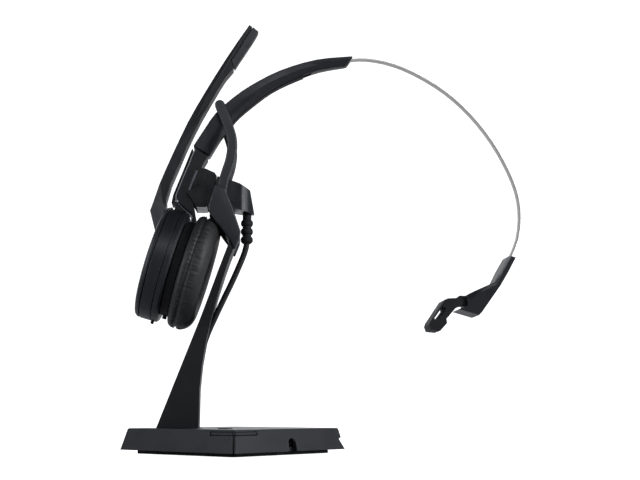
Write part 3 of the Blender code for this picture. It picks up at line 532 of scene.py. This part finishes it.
def close_tree(nodes, given, points, **turned):
    """Copies the piece to the points, then Realize Instances, a placing, and Set Material."""
    piece = nodes.add("GeometryNodeObjectInfo", None, Object=given["Piece"]).outputs["Geometry"]
    copies = nodes.add("GeometryNodeInstanceOnPoints", None, Points=points, Instance=piece,
                       **turned).outputs[0]
    solid = nodes.add("GeometryNodeRealizeInstances", None, Geometry=copies).outputs[0]
    placed = nodes.add("GeometryNodeTransform", None, Geometry=solid,
                       Translation=given["Place"], Rotation=given["Turn"]).outputs[0]
    painted = nodes.add("GeometryNodeSetMaterial", None, Geometry=placed,
                        Material=given["Finish"]).outputs[0]
    end = nodes.add("NodeGroupOutput")
    nodes.feed(end.inputs["Geometry"], painted)


def around_tree():
    """Copies of a piece round an axis, or along part of a circle."""
    found = bpy.data.node_groups.get("Pieces around an axis")
    if found:
        return found
    tree, nodes, given = new_tree("Pieces around an axis", [
        ("Piece", "Object"), ("Count", "Int"), ("Radius", "Float"), ("Start", "Float"),
        ("Step", "Float"), ("Place", "Vector"), ("Turn", "Rotation"), ("Finish", "Material")])
    line = nodes.add("GeometryNodeMeshLine", None, Count=given["Count"],
                     Offset=(0.0, 0.0, 0.0)).outputs[0]
    index = nodes.add("GeometryNodeInputIndex").outputs[0]
    angle = nodes.math("ADD", given["Start"], nodes.math("MULTIPLY", given["Step"], index))
    east = nodes.math("MULTIPLY", given["Radius"], nodes.math("COSINE", angle))
    north = nodes.math("MULTIPLY", given["Radius"], nodes.math("SINE", angle))
    spot = nodes.add("ShaderNodeCombineXYZ", None, X=east, Y=north).outputs[0]
    spread = nodes.add("GeometryNodeSetPosition", None, Geometry=line, Position=spot).outputs[0]
    heading = nodes.add("ShaderNodeCombineXYZ", None, Z=angle).outputs[0]
    turn = nodes.add("FunctionNodeEulerToRotation", None, Euler=heading).outputs[0]
    close_tree(nodes, given, spread, Rotation=turn)
    return tree


def line_tree():
    """Copies of a piece along a straight line."""
    found = bpy.data.node_groups.get("Pieces along a line")
    if found:
        return found
    tree, nodes, given = new_tree("Pieces along a line", [
        ("Piece", "Object"), ("Count", "Int"), ("Step", "Vector"), ("Place", "Vector"),
        ("Turn", "Rotation"), ("Finish", "Material")])
    line = nodes.add("GeometryNodeMeshLine", None, Count=given["Count"],
                     Offset=given["Step"]).outputs[0]
    close_tree(nodes, given, line)
    return tree


def field_tree():
    """Copies of a six-sided cell that fill a disc, side by side."""
    found = bpy.data.node_groups.get("Cells in a disc")
    if found:
        return found
    tree, nodes, given = new_tree("Cells in a disc", [
        ("Piece", "Object"), ("Rows", "Int"), ("Pitch", "Float"), ("Radius", "Float"),
        ("Place", "Vector"), ("Turn", "Rotation"), ("Finish", "Material")])
    total = nodes.math("MULTIPLY", given["Rows"], given["Rows"])
    line = nodes.add("GeometryNodeMeshLine", None, Count=total, Offset=(0.0, 0.0, 0.0)).outputs[0]
    index = nodes.add("GeometryNodeInputIndex").outputs[0]
    row = nodes.math("FLOOR", nodes.math("DIVIDE", index, given["Rows"]))
    column = nodes.math("SUBTRACT", index, nodes.math("MULTIPLY", row, given["Rows"]))
    stagger = nodes.math("MULTIPLY", nodes.math("MODULO", row, 2.0), 0.5)
    middle = nodes.math("FLOOR", nodes.math("DIVIDE", given["Rows"], 2.0))
    across = nodes.math("SUBTRACT", nodes.math("ADD", column, stagger), middle)
    upward = nodes.math("SUBTRACT", row, middle)
    east = nodes.math("MULTIPLY", across, given["Pitch"])
    north = nodes.math("MULTIPLY", nodes.math("MULTIPLY", upward, given["Pitch"]),
                       math.sqrt(0.75))
    spot = nodes.add("ShaderNodeCombineXYZ", None, X=east, Y=north).outputs[0]
    spread = nodes.add("GeometryNodeSetPosition", None, Geometry=line, Position=spot).outputs[0]
    reach = nodes.add("ShaderNodeVectorMath", {"operation": "LENGTH"}, Vector=spot)
    outside = nodes.math("GREATER_THAN", reach.outputs["Value"], given["Radius"])
    kept = nodes.add("GeometryNodeDeleteGeometry", None, Geometry=spread,
                     Selection=outside).outputs[0]
    close_tree(nodes, given, kept)
    return tree


def grow(name, tree, key, piece, **values):
    """Runs a tree once and keeps its result as a plain mesh; the pattern piece is removed."""
    item = new_object(name, bpy.data.meshes.new(name))
    change = item.modifiers.new("Repeat", "NODES")
    change.node_group = tree
    settings = {"Piece": piece, "Finish": make_finish(key), **values}
    for socket in tree.interface.items_tree:
        if socket.in_out == "INPUT" and socket.name in settings:
            change[socket.identifier] = settings[socket.name]
    settle(item, key)
    bpy.data.objects.remove(piece)
    return item


# -------------------------------------------------------------------------------------- stage
CAMERA_HEIGHT = 0.022
CAMERA_YAW = math.radians(-4.73)
CAMERA_PITCH = math.radians(9.47)
CAMERA_LENS = 57.66
FLOOR_FRONT = -2.4
FLOOR_HALF_WIDTH = 3.0
WALL_DISTANCE = 1.6
WALL_TOP = 2.6
SWEEP_RADIUS = 0.6
SWEEP_STEPS = 12
LAMP_COLOUR = (0.93, 0.955, 1.0)
LAMP_TARGET = (0.0, 0.0, 0.11)
LAMPS = (
    ("left_softbox", (-0.95, -0.40, 0.42), (0.35, 0.9), 5.2),
    ("right_softbox", (0.95, -0.40, 0.36), (0.35, 0.9), 9.0),
    ("rear_softbox", (0.1, 1.0, 0.85), (0.8, 0.4), 4.0),
    ("front_softbox", (0.1, -1.4, 0.9), (0.7, 0.4), 5.0),
)


def make_camera(distance):
    data = bpy.data.cameras.new("camera")
    data.lens = CAMERA_LENS
    data.clip_start = 0.01
    camera = bpy.data.objects.new("camera", data)
    camera.location = (0.0, -distance, CAMERA_HEIGHT)
    camera.rotation_euler = (math.radians(90.0) + CAMERA_PITCH, 0.0, CAMERA_YAW)
    bpy.context.scene.collection.objects.link(camera)
    bpy.context.scene.camera = camera


def make_floor(colour):
    """A floor that curves up into a wall behind the stand."""
    section = [(FLOOR_FRONT, 0.0), (WALL_DISTANCE - SWEEP_RADIUS, 0.0)]
    for k in range(1, SWEEP_STEPS + 1):
        angle = math.radians(90.0 * k / SWEEP_STEPS)
        section.append((WALL_DISTANCE - SWEEP_RADIUS + SWEEP_RADIUS * math.sin(angle),
                        SWEEP_RADIUS - SWEEP_RADIUS * math.cos(angle)))
    section.append((WALL_DISTANCE, WALL_TOP))
    points = []
    for y, z in section:
        points.extend([(-FLOOR_HALF_WIDTH, y, z), (FLOOR_HALF_WIDTH, y, z)])
    faces = [(2 * k, 2 * k + 1, 2 * k + 3, 2 * k + 2) for k in range(len(section) - 1)]
    mesh = bpy.data.meshes.new("floor")
    mesh.from_pydata(points, [], faces)
    mesh.shade_smooth()
    floor = new_object("floor", mesh)
    made, nodes, shader, where = new_material("floor_paper", 0.9)
    cloud = nodes.noise(where, 3.0, 2.0)
    nodes.feed(shader.inputs["Base Color"],
               nodes.tint(cloud, scaled(colour, 0.99), scaled(colour, 1.01)))
    shader.inputs["Emission Color"].default_value = (1.0, 1.0, 1.0, 1.0)
    behind = nodes.add("ShaderNodeSeparateXYZ", None, Vector=where).outputs["Y"]
    glow = nodes.spread(behind, 0.02, 0.62, 0.0, 0.9)
    seen = nodes.add("ShaderNodeLightPath").outputs["Is Camera Ray"]
    nodes.feed(shader.inputs["Emission Strength"], nodes.math("MAXIMUM", glow, seen))
    mesh.materials.append(made)


def make_lamp(name, place, size, power):
    data = bpy.data.lights.new(name, "AREA")
    data.shape = "RECTANGLE"
    data.size, data.size_y = size
    data.energy = power
    data.color = LAMP_COLOUR
    lamp = bpy.data.objects.new(name, data)
    lamp.location = place
    aim = Vector(LAMP_TARGET) - Vector(place)
    lamp.rotation_euler = aim.to_track_quat("-Z", "Y").to_euler()
    bpy.context.scene.collection.objects.link(lamp)


def make_world():
    """Soft light, dimmer overhead and in front, brighter behind, with white in view."""
    world = bpy.data.worlds.new("studio")
    bpy.context.scene.world = world
    world.use_nodes = True
    nodes = Nodes(world.node_tree)
    background = world.node_tree.nodes["Background"]
    where = nodes.add("ShaderNodeTexCoord").outputs["Generated"]
    ways = nodes.add("ShaderNodeSeparateXYZ", None, Vector=where).outputs
    backward = nodes.spread(ways["Y"], 0.0, 1.0, -0.2, 0.7)
    raised = nodes.spread(ways["Z"], 1.0, 0.25, 0.0, 0.8)
    soft = nodes.tint(nodes.math("MULTIPLY", backward, raised), (0.070, 0.073, 0.084),
                      (0.50, 0.52, 0.58))
    seen = nodes.add("ShaderNodeLightPath").outputs["Is Camera Ray"]
    chosen = nodes.add("ShaderNodeMix", {"data_type": "RGBA"})
    nodes.feed(chosen.inputs["Factor"], seen)
    nodes.feed(chosen.inputs["A"], soft)
    chosen.inputs["B"].default_value = (1.0, 1.0, 1.0, 1.0)
    nodes.feed(background.inputs["Color"], chosen.outputs["Result"])


class HEADSET_OT_stage(bpy.types.Operator):
    """Camera, pale floor and soft studio light"""
    bl_idname = "headset.stage"
    bl_label = "Stage"

    def execute(self, context):
        context.scene.view_settings.view_transform = "Standard"
        make_camera(context.scene.headset_sizes.camera_distance)
        make_floor(context.scene.headset_colours.floor)
        make_world()
        for lamp in LAMPS:
            make_lamp(*lamp)
        return {"FINISHED"}


# ------------------------------------------------------------------------------ lead and boot
LEAD_ROUTE = [(5.7, 134.5), (5.7, 129.0), (5.7, 122.0), (5.7, 116.5), (5.7, 112.4), (4.7, 107.8),
              (3.0, 103.0), (-1.5, 92.2), (-6.6, 81.2), (-11.2, 71.0), (-14.6, 63.0),
              (-17.4, 54.5), (-19.8, 46.0), (-22.2, 36.0), (-24.2, 25.0), (-25.0, 15.0),
              (-25.0, 8.9)]
LEAD_RADIUS = 1.6
BOOT_SECTION = [(1.9, 112.3), (2.35, 112.3), (2.5, 112.8), (2.45, 118.0), (2.4, 126.0),
                (2.4, 133.5), (1.9, 133.5)]
RIB_SECTION = [(2.3, -1.6), (2.9, -1.5), (3.25, -0.9), (3.35, 0.0), (3.25, 0.9), (2.9, 1.5),
               (2.3, 1.6)]
RIB_COUNT = 3
RIB_PITCH = 4.6
LOWEST_RIB = 114.3


class HEADSET_OT_dock_lead(bpy.types.Operator):
    """Short lead from the dock head down into the post, and its ribbed boot"""
    bl_idname = "headset.dock_lead"
    bl_label = "Dock lead"

    def execute(self, context):
        route = [Vector((p.x, 0.0, p.y)) * MM
                 for p in smooth_route([Vector((x, z)) for x, z in LEAD_ROUTE], 3)]
        curve = bpy.data.curves.new("dock_lead", "CURVE")
        curve.dimensions = "3D"
        curve.bevel_depth = LEAD_RADIUS * MM
        curve.bevel_resolution = 5
        curve.use_fill_caps = True
        line = curve.splines.new("POLY")
        line.points.add(len(route) - 1)
        for point, place in zip(line.points, route):
            point.co = (*place, 1.0)
        lead = bpy.data.objects.new("dock_lead", curve)
        context.scene.collection.objects.link(lead)
        curve.materials.append(make_finish("cable_jacket"))
        stand_for(lead, "cable_black", "dock_cable")
        make_boot()
        return {"FINISHED"}


def make_boot():
    """The boot: a tapered sleeve with rounded ribs."""
    x = LEAD_ROUTE[0][0]
    points, faces = lathe_rows(BOOT_SECTION, 40)
    points = [(px + x, py, pz) for px, py, pz in points]
    sleeve = mesh_from("boot_sleeve", points, faces, "rubber_matt")
    sleeve.data.shade_smooth()
    stand_for(sleeve, "rubber_black", "strain_relief")
    points, faces = lathe_rows(RIB_SECTION, 32)
    pattern = mesh_from("boot_rib", points, faces, "rubber_matt")
    pattern.data.shade_smooth()
    ribs = grow("boot_ribs", line_tree(), "rubber_matt", pattern, Count=RIB_COUNT,
                Step=(0.0, 0.0, RIB_PITCH * MM), Place=(x * MM, 0.0, LOWEST_RIB * MM))
    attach(ribs, "stand")


# ----------------------------------------------------------------------------------- the base
class HEADSET_OT_base(bpy.types.Operator):
    """Square weighted base with its window, foot pad and screws"""
    bl_idname = "headset.base"
    bl_label = "Base"

    def execute(self, context):
        edge = context.scene.headset_sizes.casing_edge
        rounded_copy("base_top_shell", "casing_satin", edge * 0.6, 2)
        rounded_copy("indicator_window", "smoked_lens", edge * 0.35, 2)
        rounded_copy("base_bottom_cover", "stand_matt", edge * 0.4, 2)
        rounded_copy("base_foot_pad", "rubber_matt", edge * 0.6, 2)
        rounded_copy("status_light", "smoked_lens", edge * 0.2, 2)
        finish_nodes(["base_ballast"], "ballast_plate")
        finish_nodes(["base_circuit_board"], "circuit_board")
        finish_nodes(["usb_socket", "cable_plug", "post_screw_1", "post_screw_2"],
                     "nickel_plate")
        make_base_screws(context.scene.headset_sizes.screw_head)
        return {"FINISHED"}


SCREW_CIRCLE = 44.0
SCREW_HEIGHT = 2.0
LOBE_DEPTH = 0.15


def make_base_screws(head):
    """Four screws with six-lobed sockets, heads down, under the base."""
    head = head / MM
    section = [(0.0, 0.8), (1.05, 0.8), (1.1, 0.0), (head - 0.25, 0.0), (head, 0.2),
               (head, 1.0), (1.0, 1.0), (1.0, 5.4), (0.0, 5.6)]
    points, faces = lathe_rows(section, 36)
    shaped = []
    for x, y, z in points:
        reach = math.hypot(x, y)
        lobe = LOBE_DEPTH * math.cos(6.0 * math.atan2(y, x)) if 1.02 < reach < 1.2 else 0.0
        share = (reach + lobe) / reach if reach else 1.0
        shaped.append((x * share, y * share, z))
    pattern = mesh_from("base_screw", shaped, faces, "nickel_plate")
    screws = grow("base_screws", around_tree(), "nickel_plate", pattern, Count=4,
                  Radius=SCREW_CIRCLE * MM, Start=0.0, Step=math.radians(90.0),
                  Place=(0.0, 0.0, SCREW_HEIGHT * MM), Turn=(0.0, 0.0, 0.0))
    stand_for(screws, "magnet_nickel", *[f"base_screw_{k}" for k in (1, 2, 3, 4)])


class HEADSET_OT_post(bpy.types.Operator):
    """Leaning post with its side plates and the two prongs"""
    bl_idname = "headset.post"
    bl_label = "Post, side plates and prongs"

    def execute(self, context):
        sizes = context.scene.headset_sizes
        rounded_copy("stand_post", "stand_matt", sizes.casing_edge, 3)
        for side in ("near", "far"):
            rounded_copy(f"side_plate_{side}", "plate_satin", sizes.plate_chamfer, 1)
            rounded_copy(f"prong_{side}", "plate_satin", sizes.casing_edge, 2)
        return {"FINISHED"}


BAR_OUTLINE = [(-21.3, 150.6), (-22.0, 150.9), (-22.5, 150.4), (-26.3, 140.2), (-26.1, 139.5),
               (-25.4, 139.7)]
BAR_INNER = 8.6
BAR_OUTER = 8.95
BAR_EDGE = 0.12


def make_painted_highlight_bars():
    """Slim bar along the front edge of each flank of the dock head, five times lighter than the
    side plates: a painted highlight along the housing's bevel.
    """
    count = len(BAR_OUTLINE)
    for side, low, high in (("near", -BAR_OUTER, -BAR_INNER), ("far", BAR_INNER, BAR_OUTER)):
        points = [(x, y, z) for y in (low, high) for x, z in BAR_OUTLINE]
        faces = [tuple(range(count)), tuple(range(2 * count - 1, count - 1, -1))]
        faces += [(k, (k + 1) % count, (k + 1) % count + count, k + count)
                  for k in range(count)]
        bar = mesh_from(f"guide_bar_{side}", points, faces, "bar_satin")
        round_edges(bar, BAR_EDGE * MM, 2)
        settle(bar)
        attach(bar, "stand")


class HEADSET_OT_dock_head(bpy.types.Operator):
    """Dock head that the slider arm leans on, with its magnet and contact pins"""
    bl_idname = "headset.dock_head"
    bl_label = "Dock head"

    def execute(self, context):
        edge = context.scene.headset_sizes.casing_edge
        rounded_copy("dock_front_housing", "dock_gloss", edge * 1.3, 3)
        rounded_copy("dock_rear_cover", "dock_satin", edge * 0.7, 3,
                     changes=[narrowed(-4.0, 10.0, 0.85, 12)])
        # the slim bars carry a painted highlight along the front housing's bevel
        make_painted_highlight_bars()
        finish_nodes(["dock_magnet"], "nickel_plate")
        finish_nodes(["contact_pin_1", "contact_pin_2"], "contact_gold")
        return {"FINISHED"}


class HEADSET_OT_slider(bpy.types.Operator):
    """Slider arm between the ear cup and the head band, with its spring leaf"""
    bl_idname = "headset.slider"
    bl_label = "Slider arm"

    def execute(self, context):
        edge = context.scene.headset_sizes.casing_edge
        rounded_copy("slider_arm", "stand_matt", edge * 0.7, 2)
        rounded_copy("arm_outer_cover", "stand_matt", edge * 0.6, 2)
        rounded_copy("arm_spring_leaf", "leaf_steel", edge * 0.2, 2)
        finish_nodes(["headset_contact_plate"], "contact_gold")
        return {"FINISHED"}


class HEADSET_OT_headband(bpy.types.Operator):
    """Head band, its lining and the spring band over the head"""
    bl_idname = "headset.headband"
    bl_label = "Head band and spring band"

    def execute(self, context):
        edge = context.scene.headset_sizes.casing_edge
        rounded_copy("headband_shell", "casing_satin", edge * 0.8, 2)
        rounded_copy("headband_lining", "rubber_matt", edge * 0.5, 2)
        rounded_copy("spring_band", "spring_steel", edge * 0.3, 2)
        return {"FINISHED"}


class HEADSET_OT_temple_rest(bpy.types.Operator):
    """Temple arm on the spring band's end and the soft pad hinged on it"""
    bl_idname = "headset.temple_rest"
    bl_label = "Temple rest"

    def execute(self, context):
        edge = context.scene.headset_sizes.casing_edge
        rounded_copy("temple_arm", "casing_satin", edge * 0.8, 3)
        rounded_copy("temple_pad", "rubber_matt", edge * 0.9, 3)
        finish_nodes(["temple_hinge_pin"], "nickel_plate")
        return {"FINISHED"}


COVER_RADIUS = 16.9
COVER_DEPTH = 53.4
COVER_THICKNESS = 0.7
HOLE_SHARE = 0.29
CELL_CORNERS = 12
CELL_ROWS = 21


def make_speaker_cover(pitch):
    """The cover over the speaker: a field of drilled cells inside a rounded rim."""
    across = pitch / MM
    corner = across / math.sqrt(3.0)
    hole = HOLE_SHARE * across
    rows = []
    points = []
    for radius, six_sided, height in ((corner, True, 0.0), (hole, False, 0.0),
                                      (hole, False, COVER_THICKNESS),
                                      (corner, True, COVER_THICKNESS)):
        rows.append(range(len(points), len(points) + CELL_CORNERS))
        for k in range(CELL_CORNERS):
            angle = math.radians(30.0) + math.tau * k / CELL_CORNERS
            reach = radius * math.cos(math.radians(30.0)) if six_sided and k % 2 else radius
            points.append((reach * math.cos(angle), reach * math.sin(angle), height))
    faces = []
    for low, high in zip(rows, rows[1:] + rows[:1]):
        for k in range(CELL_CORNERS):
            after = (k + 1) % CELL_CORNERS
            faces.append((low[k], low[after], high[after], high[k]))
    cell = mesh_from("cover_cell", points, faces, "stand_matt")
    place = (CUP_ORIGIN + FACE_OUT * COVER_DEPTH) * MM
    field = grow("speaker_cover_holes", field_tree(), "stand_matt", cell, Rows=CELL_ROWS,
                 Pitch=pitch, Radius=(COVER_RADIUS - 1.6) * MM, Place=place, Turn=CUP_TURN)
    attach(field, "ear_cup")
    rim = [(COVER_RADIUS - 2.2, 0.1), (COVER_RADIUS - 1.8, -0.1), (COVER_RADIUS - 0.5, -0.1),
           (COVER_RADIUS, 0.3), (COVER_RADIUS, 1.0), (COVER_RADIUS - 2.2, 1.0)]
    points, faces = lathe_rows([(r, h + COVER_DEPTH) for r, h in rim], 72)
    ring = mesh_from("speaker_cover_rim", on_cup(points), faces, "stand_matt")
    ring.data.shade_smooth()
    stand_for(ring, "stand_black", "speaker_grille")


class HEADSET_OT_ear_cup(bpy.types.Operator):
    """Ear cup housings with the speaker, electronics and perforated cover inside"""
    bl_idname = "headset.ear_cup"
    bl_label = "Ear cup"

    def execute(self, context):
        edge = context.scene.headset_sizes.casing_edge
        rounded_copy("cup_outer_housing", "casing_satin", edge * 0.5, 2)
        rounded_copy("cup_inner_housing", "casing_satin", edge * 0.5, 2)
        # painted shade: the cushion mount takes the near-black rubber finish to darken the
        # shadowed neck between the housing and the cushion
        rounded_copy("cushion_mount", "rubber_matt", edge * 0.5, 2)
        finish_nodes(["speaker_driver"], "driver_frame")
        finish_nodes(["headset_circuit_board", "antenna_board"], "circuit_board")
        finish_nodes(["headset_battery"], "battery_wrap")
        make_speaker_cover(context.scene.headset_sizes.hole_pitch)
        return {"FINISHED"}


CUSHION_SECTION = [(18.8, 54.2), (17.4, 52.4), (16.0, 49.0), (16.3, 45.0), (18.6, 41.9),
                   (22.0, 40.4), (25.4, 40.6), (28.6, 42.3), (30.8, 45.0), (31.4, 47.6),
                   (31.0, 49.3), (31.3, 50.9), (31.0, 52.8), (29.2, 54.2)]
SEAM_DEPTH = 49.5
SEAT_DEPTH = 53.6
SEAM_REACH = 24.0
REACH_LIMIT = 32.1
STITCH_CIRCLE = 31.25
SIM_SCALE = 10.0
SIM_STEPS = 20
VOXEL = 1.3
CREASE_COUNTS = (37, 59, 83, 104)


def make_cushion(swell, crease):
    """A stuffed ring: filled under pressure in a larger scale, then creased along its seam."""
    points, faces = lathe_rows(CUSHION_SECTION, 96)
    ring = mesh_from("ear_cushion_cover", points, faces, "leatherette", MM * SIM_SCALE)
    remesh = ring.modifiers.new("Voxels", "REMESH")
    remesh.mode = "VOXEL"
    remesh.voxel_size = VOXEL * MM * SIM_SCALE
    settle(ring, "leatherette")
    before = [v.co.copy() for v in ring.data.vertices]
    fill_with_air(ring, before)
    limit = swell * SIM_SCALE
    for vert, start in zip(ring.data.vertices, before):
        moved = vert.co - start
        if moved.length > limit:
            vert.co = start + moved.normalized() * limit
    finer = ring.modifiers.new("Smoother cover", "SUBSURF")
    finer.levels = finer.render_levels = 1
    settle(ring, "leatherette")
    crease_cover(ring.data, crease / MM)
    ring.data.shade_smooth()
    return ring


def fill_with_air(ring, before):
    """Cloth simulation of the cover, held where it is sewn to its seat and along the seam."""
    held = ring.vertex_groups.new(name="sewn")
    for k, place in enumerate(before):
        depth = place.z / (MM * SIM_SCALE)
        reach = math.hypot(place.x, place.y) / (MM * SIM_SCALE)
        seam = reach > SEAM_REACH and abs(depth - SEAM_DEPTH) < 0.7
        if depth > SEAT_DEPTH or seam:
            held.add([k], 1.0, "REPLACE")
    cloth = ring.modifiers.new("Filling", "CLOTH")
    cloth.settings.quality = 6
    cloth.settings.mass = 0.25
    cloth.settings.tension_stiffness = 12.0
    cloth.settings.compression_stiffness = 12.0
    cloth.settings.bending_stiffness = 0.3
    cloth.settings.use_pressure = True
    cloth.settings.uniform_pressure_force = 4.0
    cloth.settings.effector_weights.gravity = 0.0
    cloth.settings.vertex_group_mass = held.name
    cloth.point_cache.frame_start = 1
    cloth.point_cache.frame_end = SIM_STEPS
    for step in range(1, SIM_STEPS + 1):
        bpy.context.scene.frame_set(step)
    settle(ring, "leatherette")
    ring.vertex_groups.clear()
    bpy.context.scene.frame_set(1)


def crease_cover(mesh, crease):
    """Puts the cover in its place, draws the seam in, and gathers the cover beside it."""
    order = random.Random(7)
    waves = [(count, order.uniform(0.0, math.tau)) for count in CREASE_COUNTS]
    for vert in mesh.vertices:
        x, y, depth = vert.co / (MM * SIM_SCALE)
        reach = math.hypot(x, y)
        angle = math.atan2(y, x)
        if reach > SEAM_REACH:
            groove = 1.0 * math.exp(-((depth - SEAM_DEPTH) / 0.75) ** 2)
            beside = math.exp(-((depth - SEAM_DEPTH + 2.4) / 2.2) ** 2)
            behind = math.exp(-((depth - SEAM_DEPTH - 1.9) / 1.1) ** 2)
            wave = sum(math.sin(count * angle + start) for count, start in waves) / 2.2
            slow = noise.noise(Vector((math.cos(angle), math.sin(angle), depth / 9.0)) * 2.6)
            moved = crease * (beside + 0.7 * behind) * wave * (0.75 + slow) - groove
            reach = min(reach + moved, REACH_LIMIT)
        reach += 0.18 * noise.noise(Vector((x, y, depth)) * 0.16)
        place = CUP_ORIGIN + (FACE_UP * math.cos(angle) * reach + FACE_OUT * depth
                              + Vector((0.0, math.sin(angle) * reach, 0.0)))
        vert.co = place * MM


def make_stitches(count):
    """Short stitches side by side along the cushion's seam."""
    points, faces = lathe_rows([(0.0, -0.62), (0.17, -0.52), (0.24, -0.25), (0.24, 0.25),
                                (0.17, 0.52), (0.0, 0.62)], 8)
    points = [(x, z, y) for x, y, z in points]
    pattern = mesh_from("stitch", points, faces, "thread")
    pattern.data.shade_smooth()
    stitches = grow("cushion_stitches", around_tree(), "thread", pattern, Count=count,
                    Radius=STITCH_CIRCLE * MM, Start=0.0, Step=math.tau / count,
                    Place=(CUP_ORIGIN + FACE_OUT * (SEAM_DEPTH + 0.85)) * MM, Turn=CUP_TURN)
    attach(stitches, "ear_cup")


class HEADSET_OT_ear_cushion(bpy.types.Operator):
    """Stuffed leatherette cushion round the ear, with its seam and stitches"""
    bl_idname = "headset.ear_cushion"
    bl_label = "Ear cushion"

    def execute(self, context):
        sizes = context.scene.headset_sizes
        cushion = make_cushion(sizes.cushion_swell, sizes.cushion_crease)
        stand_for(cushion, "leatherette", "ear_cushion")
        make_stitches(sizes.stitch_count)
        return {"FINISHED"}


ROOT_CREASE = ((-40.6, 141.8), (-38.2, 127.0), math.radians(28.0), 6.95)
TIP_CREASE = ((-3.0, 217.3), (7.9, 234.9), math.radians(30.0), 4.38)


class HEADSET_OT_boom(bpy.types.Operator):
    """Microphone boom with its hub and microphone cover"""
    bl_idname = "headset.boom"
    bl_label = "Boom"

    def execute(self, context):
        edge = context.scene.headset_sizes.casing_edge
        rounded_copy("boom_hub", "casing_satin", edge * 0.5, 2)
        rounded_copy("boom_arm", "boom_matt", edge * 0.6, 2, 12.0, changes=[facet(*ROOT_CREASE)])
        rounded_copy("mic_cover", "boom_matt", edge * 0.4, 2, 12.0, changes=[facet(*TIP_CREASE)])
        finish_nodes(["mic_capsule"], "driver_frame")
        return {"FINISHED"}


FIRST_RIDGE = (-32.4, -1.05, 61.65)
RIDGE_PITCH = 0.7


def make_switch_ridges():
    """Four grip ridges across the end of the volume switch."""
    points, faces = lathe_rows([(0.0, -0.55), (0.14, -0.45), (0.14, 0.45), (0.0, 0.55)], 10)
    pattern = mesh_from("switch_ridge", points, faces, "rubber_matt")
    pattern.data.shade_smooth()
    place = Vector(on_cup([FIRST_RIDGE])[0]) * MM
    ridges = grow("switch_ridges", line_tree(), "rubber_matt", pattern, Count=4,
                  Step=(0.0, RIDGE_PITCH * MM, 0.0), Place=place, Turn=CUP_TURN)
    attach(ridges, "volume_switch")


class HEADSET_OT_controls(bpy.types.Operator):
    """Call button, volume switch and the stand's mode button"""
    bl_idname = "headset.controls"
    bl_label = "Buttons and switch"

    def execute(self, context):
        edge = context.scene.headset_sizes.casing_edge
        rounded_copy("call_button", "plate_satin", edge * 0.5, 2)
        rounded_copy("volume_switch", "rubber_matt", edge * 0.4, 2)
        make_switch_ridges()
        rounded_copy("mode_button", "plate_satin", edge * 0.3, 2)
        return {"FINISHED"}


class HEADSET_PT_panel(bpy.types.Panel):
    """Sizes, colours and the steps that build the headset"""
    bl_label = "Office headset"
    bl_idname = "HEADSET_PT_panel"
    bl_space_type = "VIEW_3D"
    bl_region_type = "UI"
    bl_category = "Headset"

    def draw(self, context):
        for group in (context.scene.headset_sizes, context.scene.headset_colours):
            for name in group.__annotations__:
                self.layout.prop(group, name)
        for step in STEPS:
            self.layout.operator(step.bl_idname)


STEPS = (HEADSET_OT_stage, HEADSET_OT_dock_lead, HEADSET_OT_base, HEADSET_OT_post,
         HEADSET_OT_dock_head, HEADSET_OT_slider, HEADSET_OT_headband, HEADSET_OT_temple_rest,
         HEADSET_OT_ear_cup, HEADSET_OT_ear_cushion, HEADSET_OT_boom, HEADSET_OT_controls)
CLASSES = (HeadsetSizes, HeadsetColours, *STEPS, HEADSET_PT_panel)


def register():
    for item in CLASSES:
        bpy.utils.register_class(item)
    bpy.types.Scene.headset_sizes = bpy.props.PointerProperty(type=HeadsetSizes)
    bpy.types.Scene.headset_colours = bpy.props.PointerProperty(type=HeadsetColours)


def unregister():
    del bpy.types.Scene.headset_colours
    del bpy.types.Scene.headset_sizes
    for item in reversed(CLASSES):
        bpy.utils.unregister_class(item)


def main():
    register()
    bpy.ops.headset.stage()
    bpy.ops.headset.dock_lead()
    bpy.ops.headset.base()
    bpy.ops.headset.post()
    bpy.ops.headset.dock_head()
    bpy.ops.headset.slider()
    bpy.ops.headset.headband()
    bpy.ops.headset.temple_rest()
    bpy.ops.headset.ear_cup()
    bpy.ops.headset.ear_cushion()
    bpy.ops.headset.boom()
    bpy.ops.headset.controls()


if __name__ == "__main__":
    main()
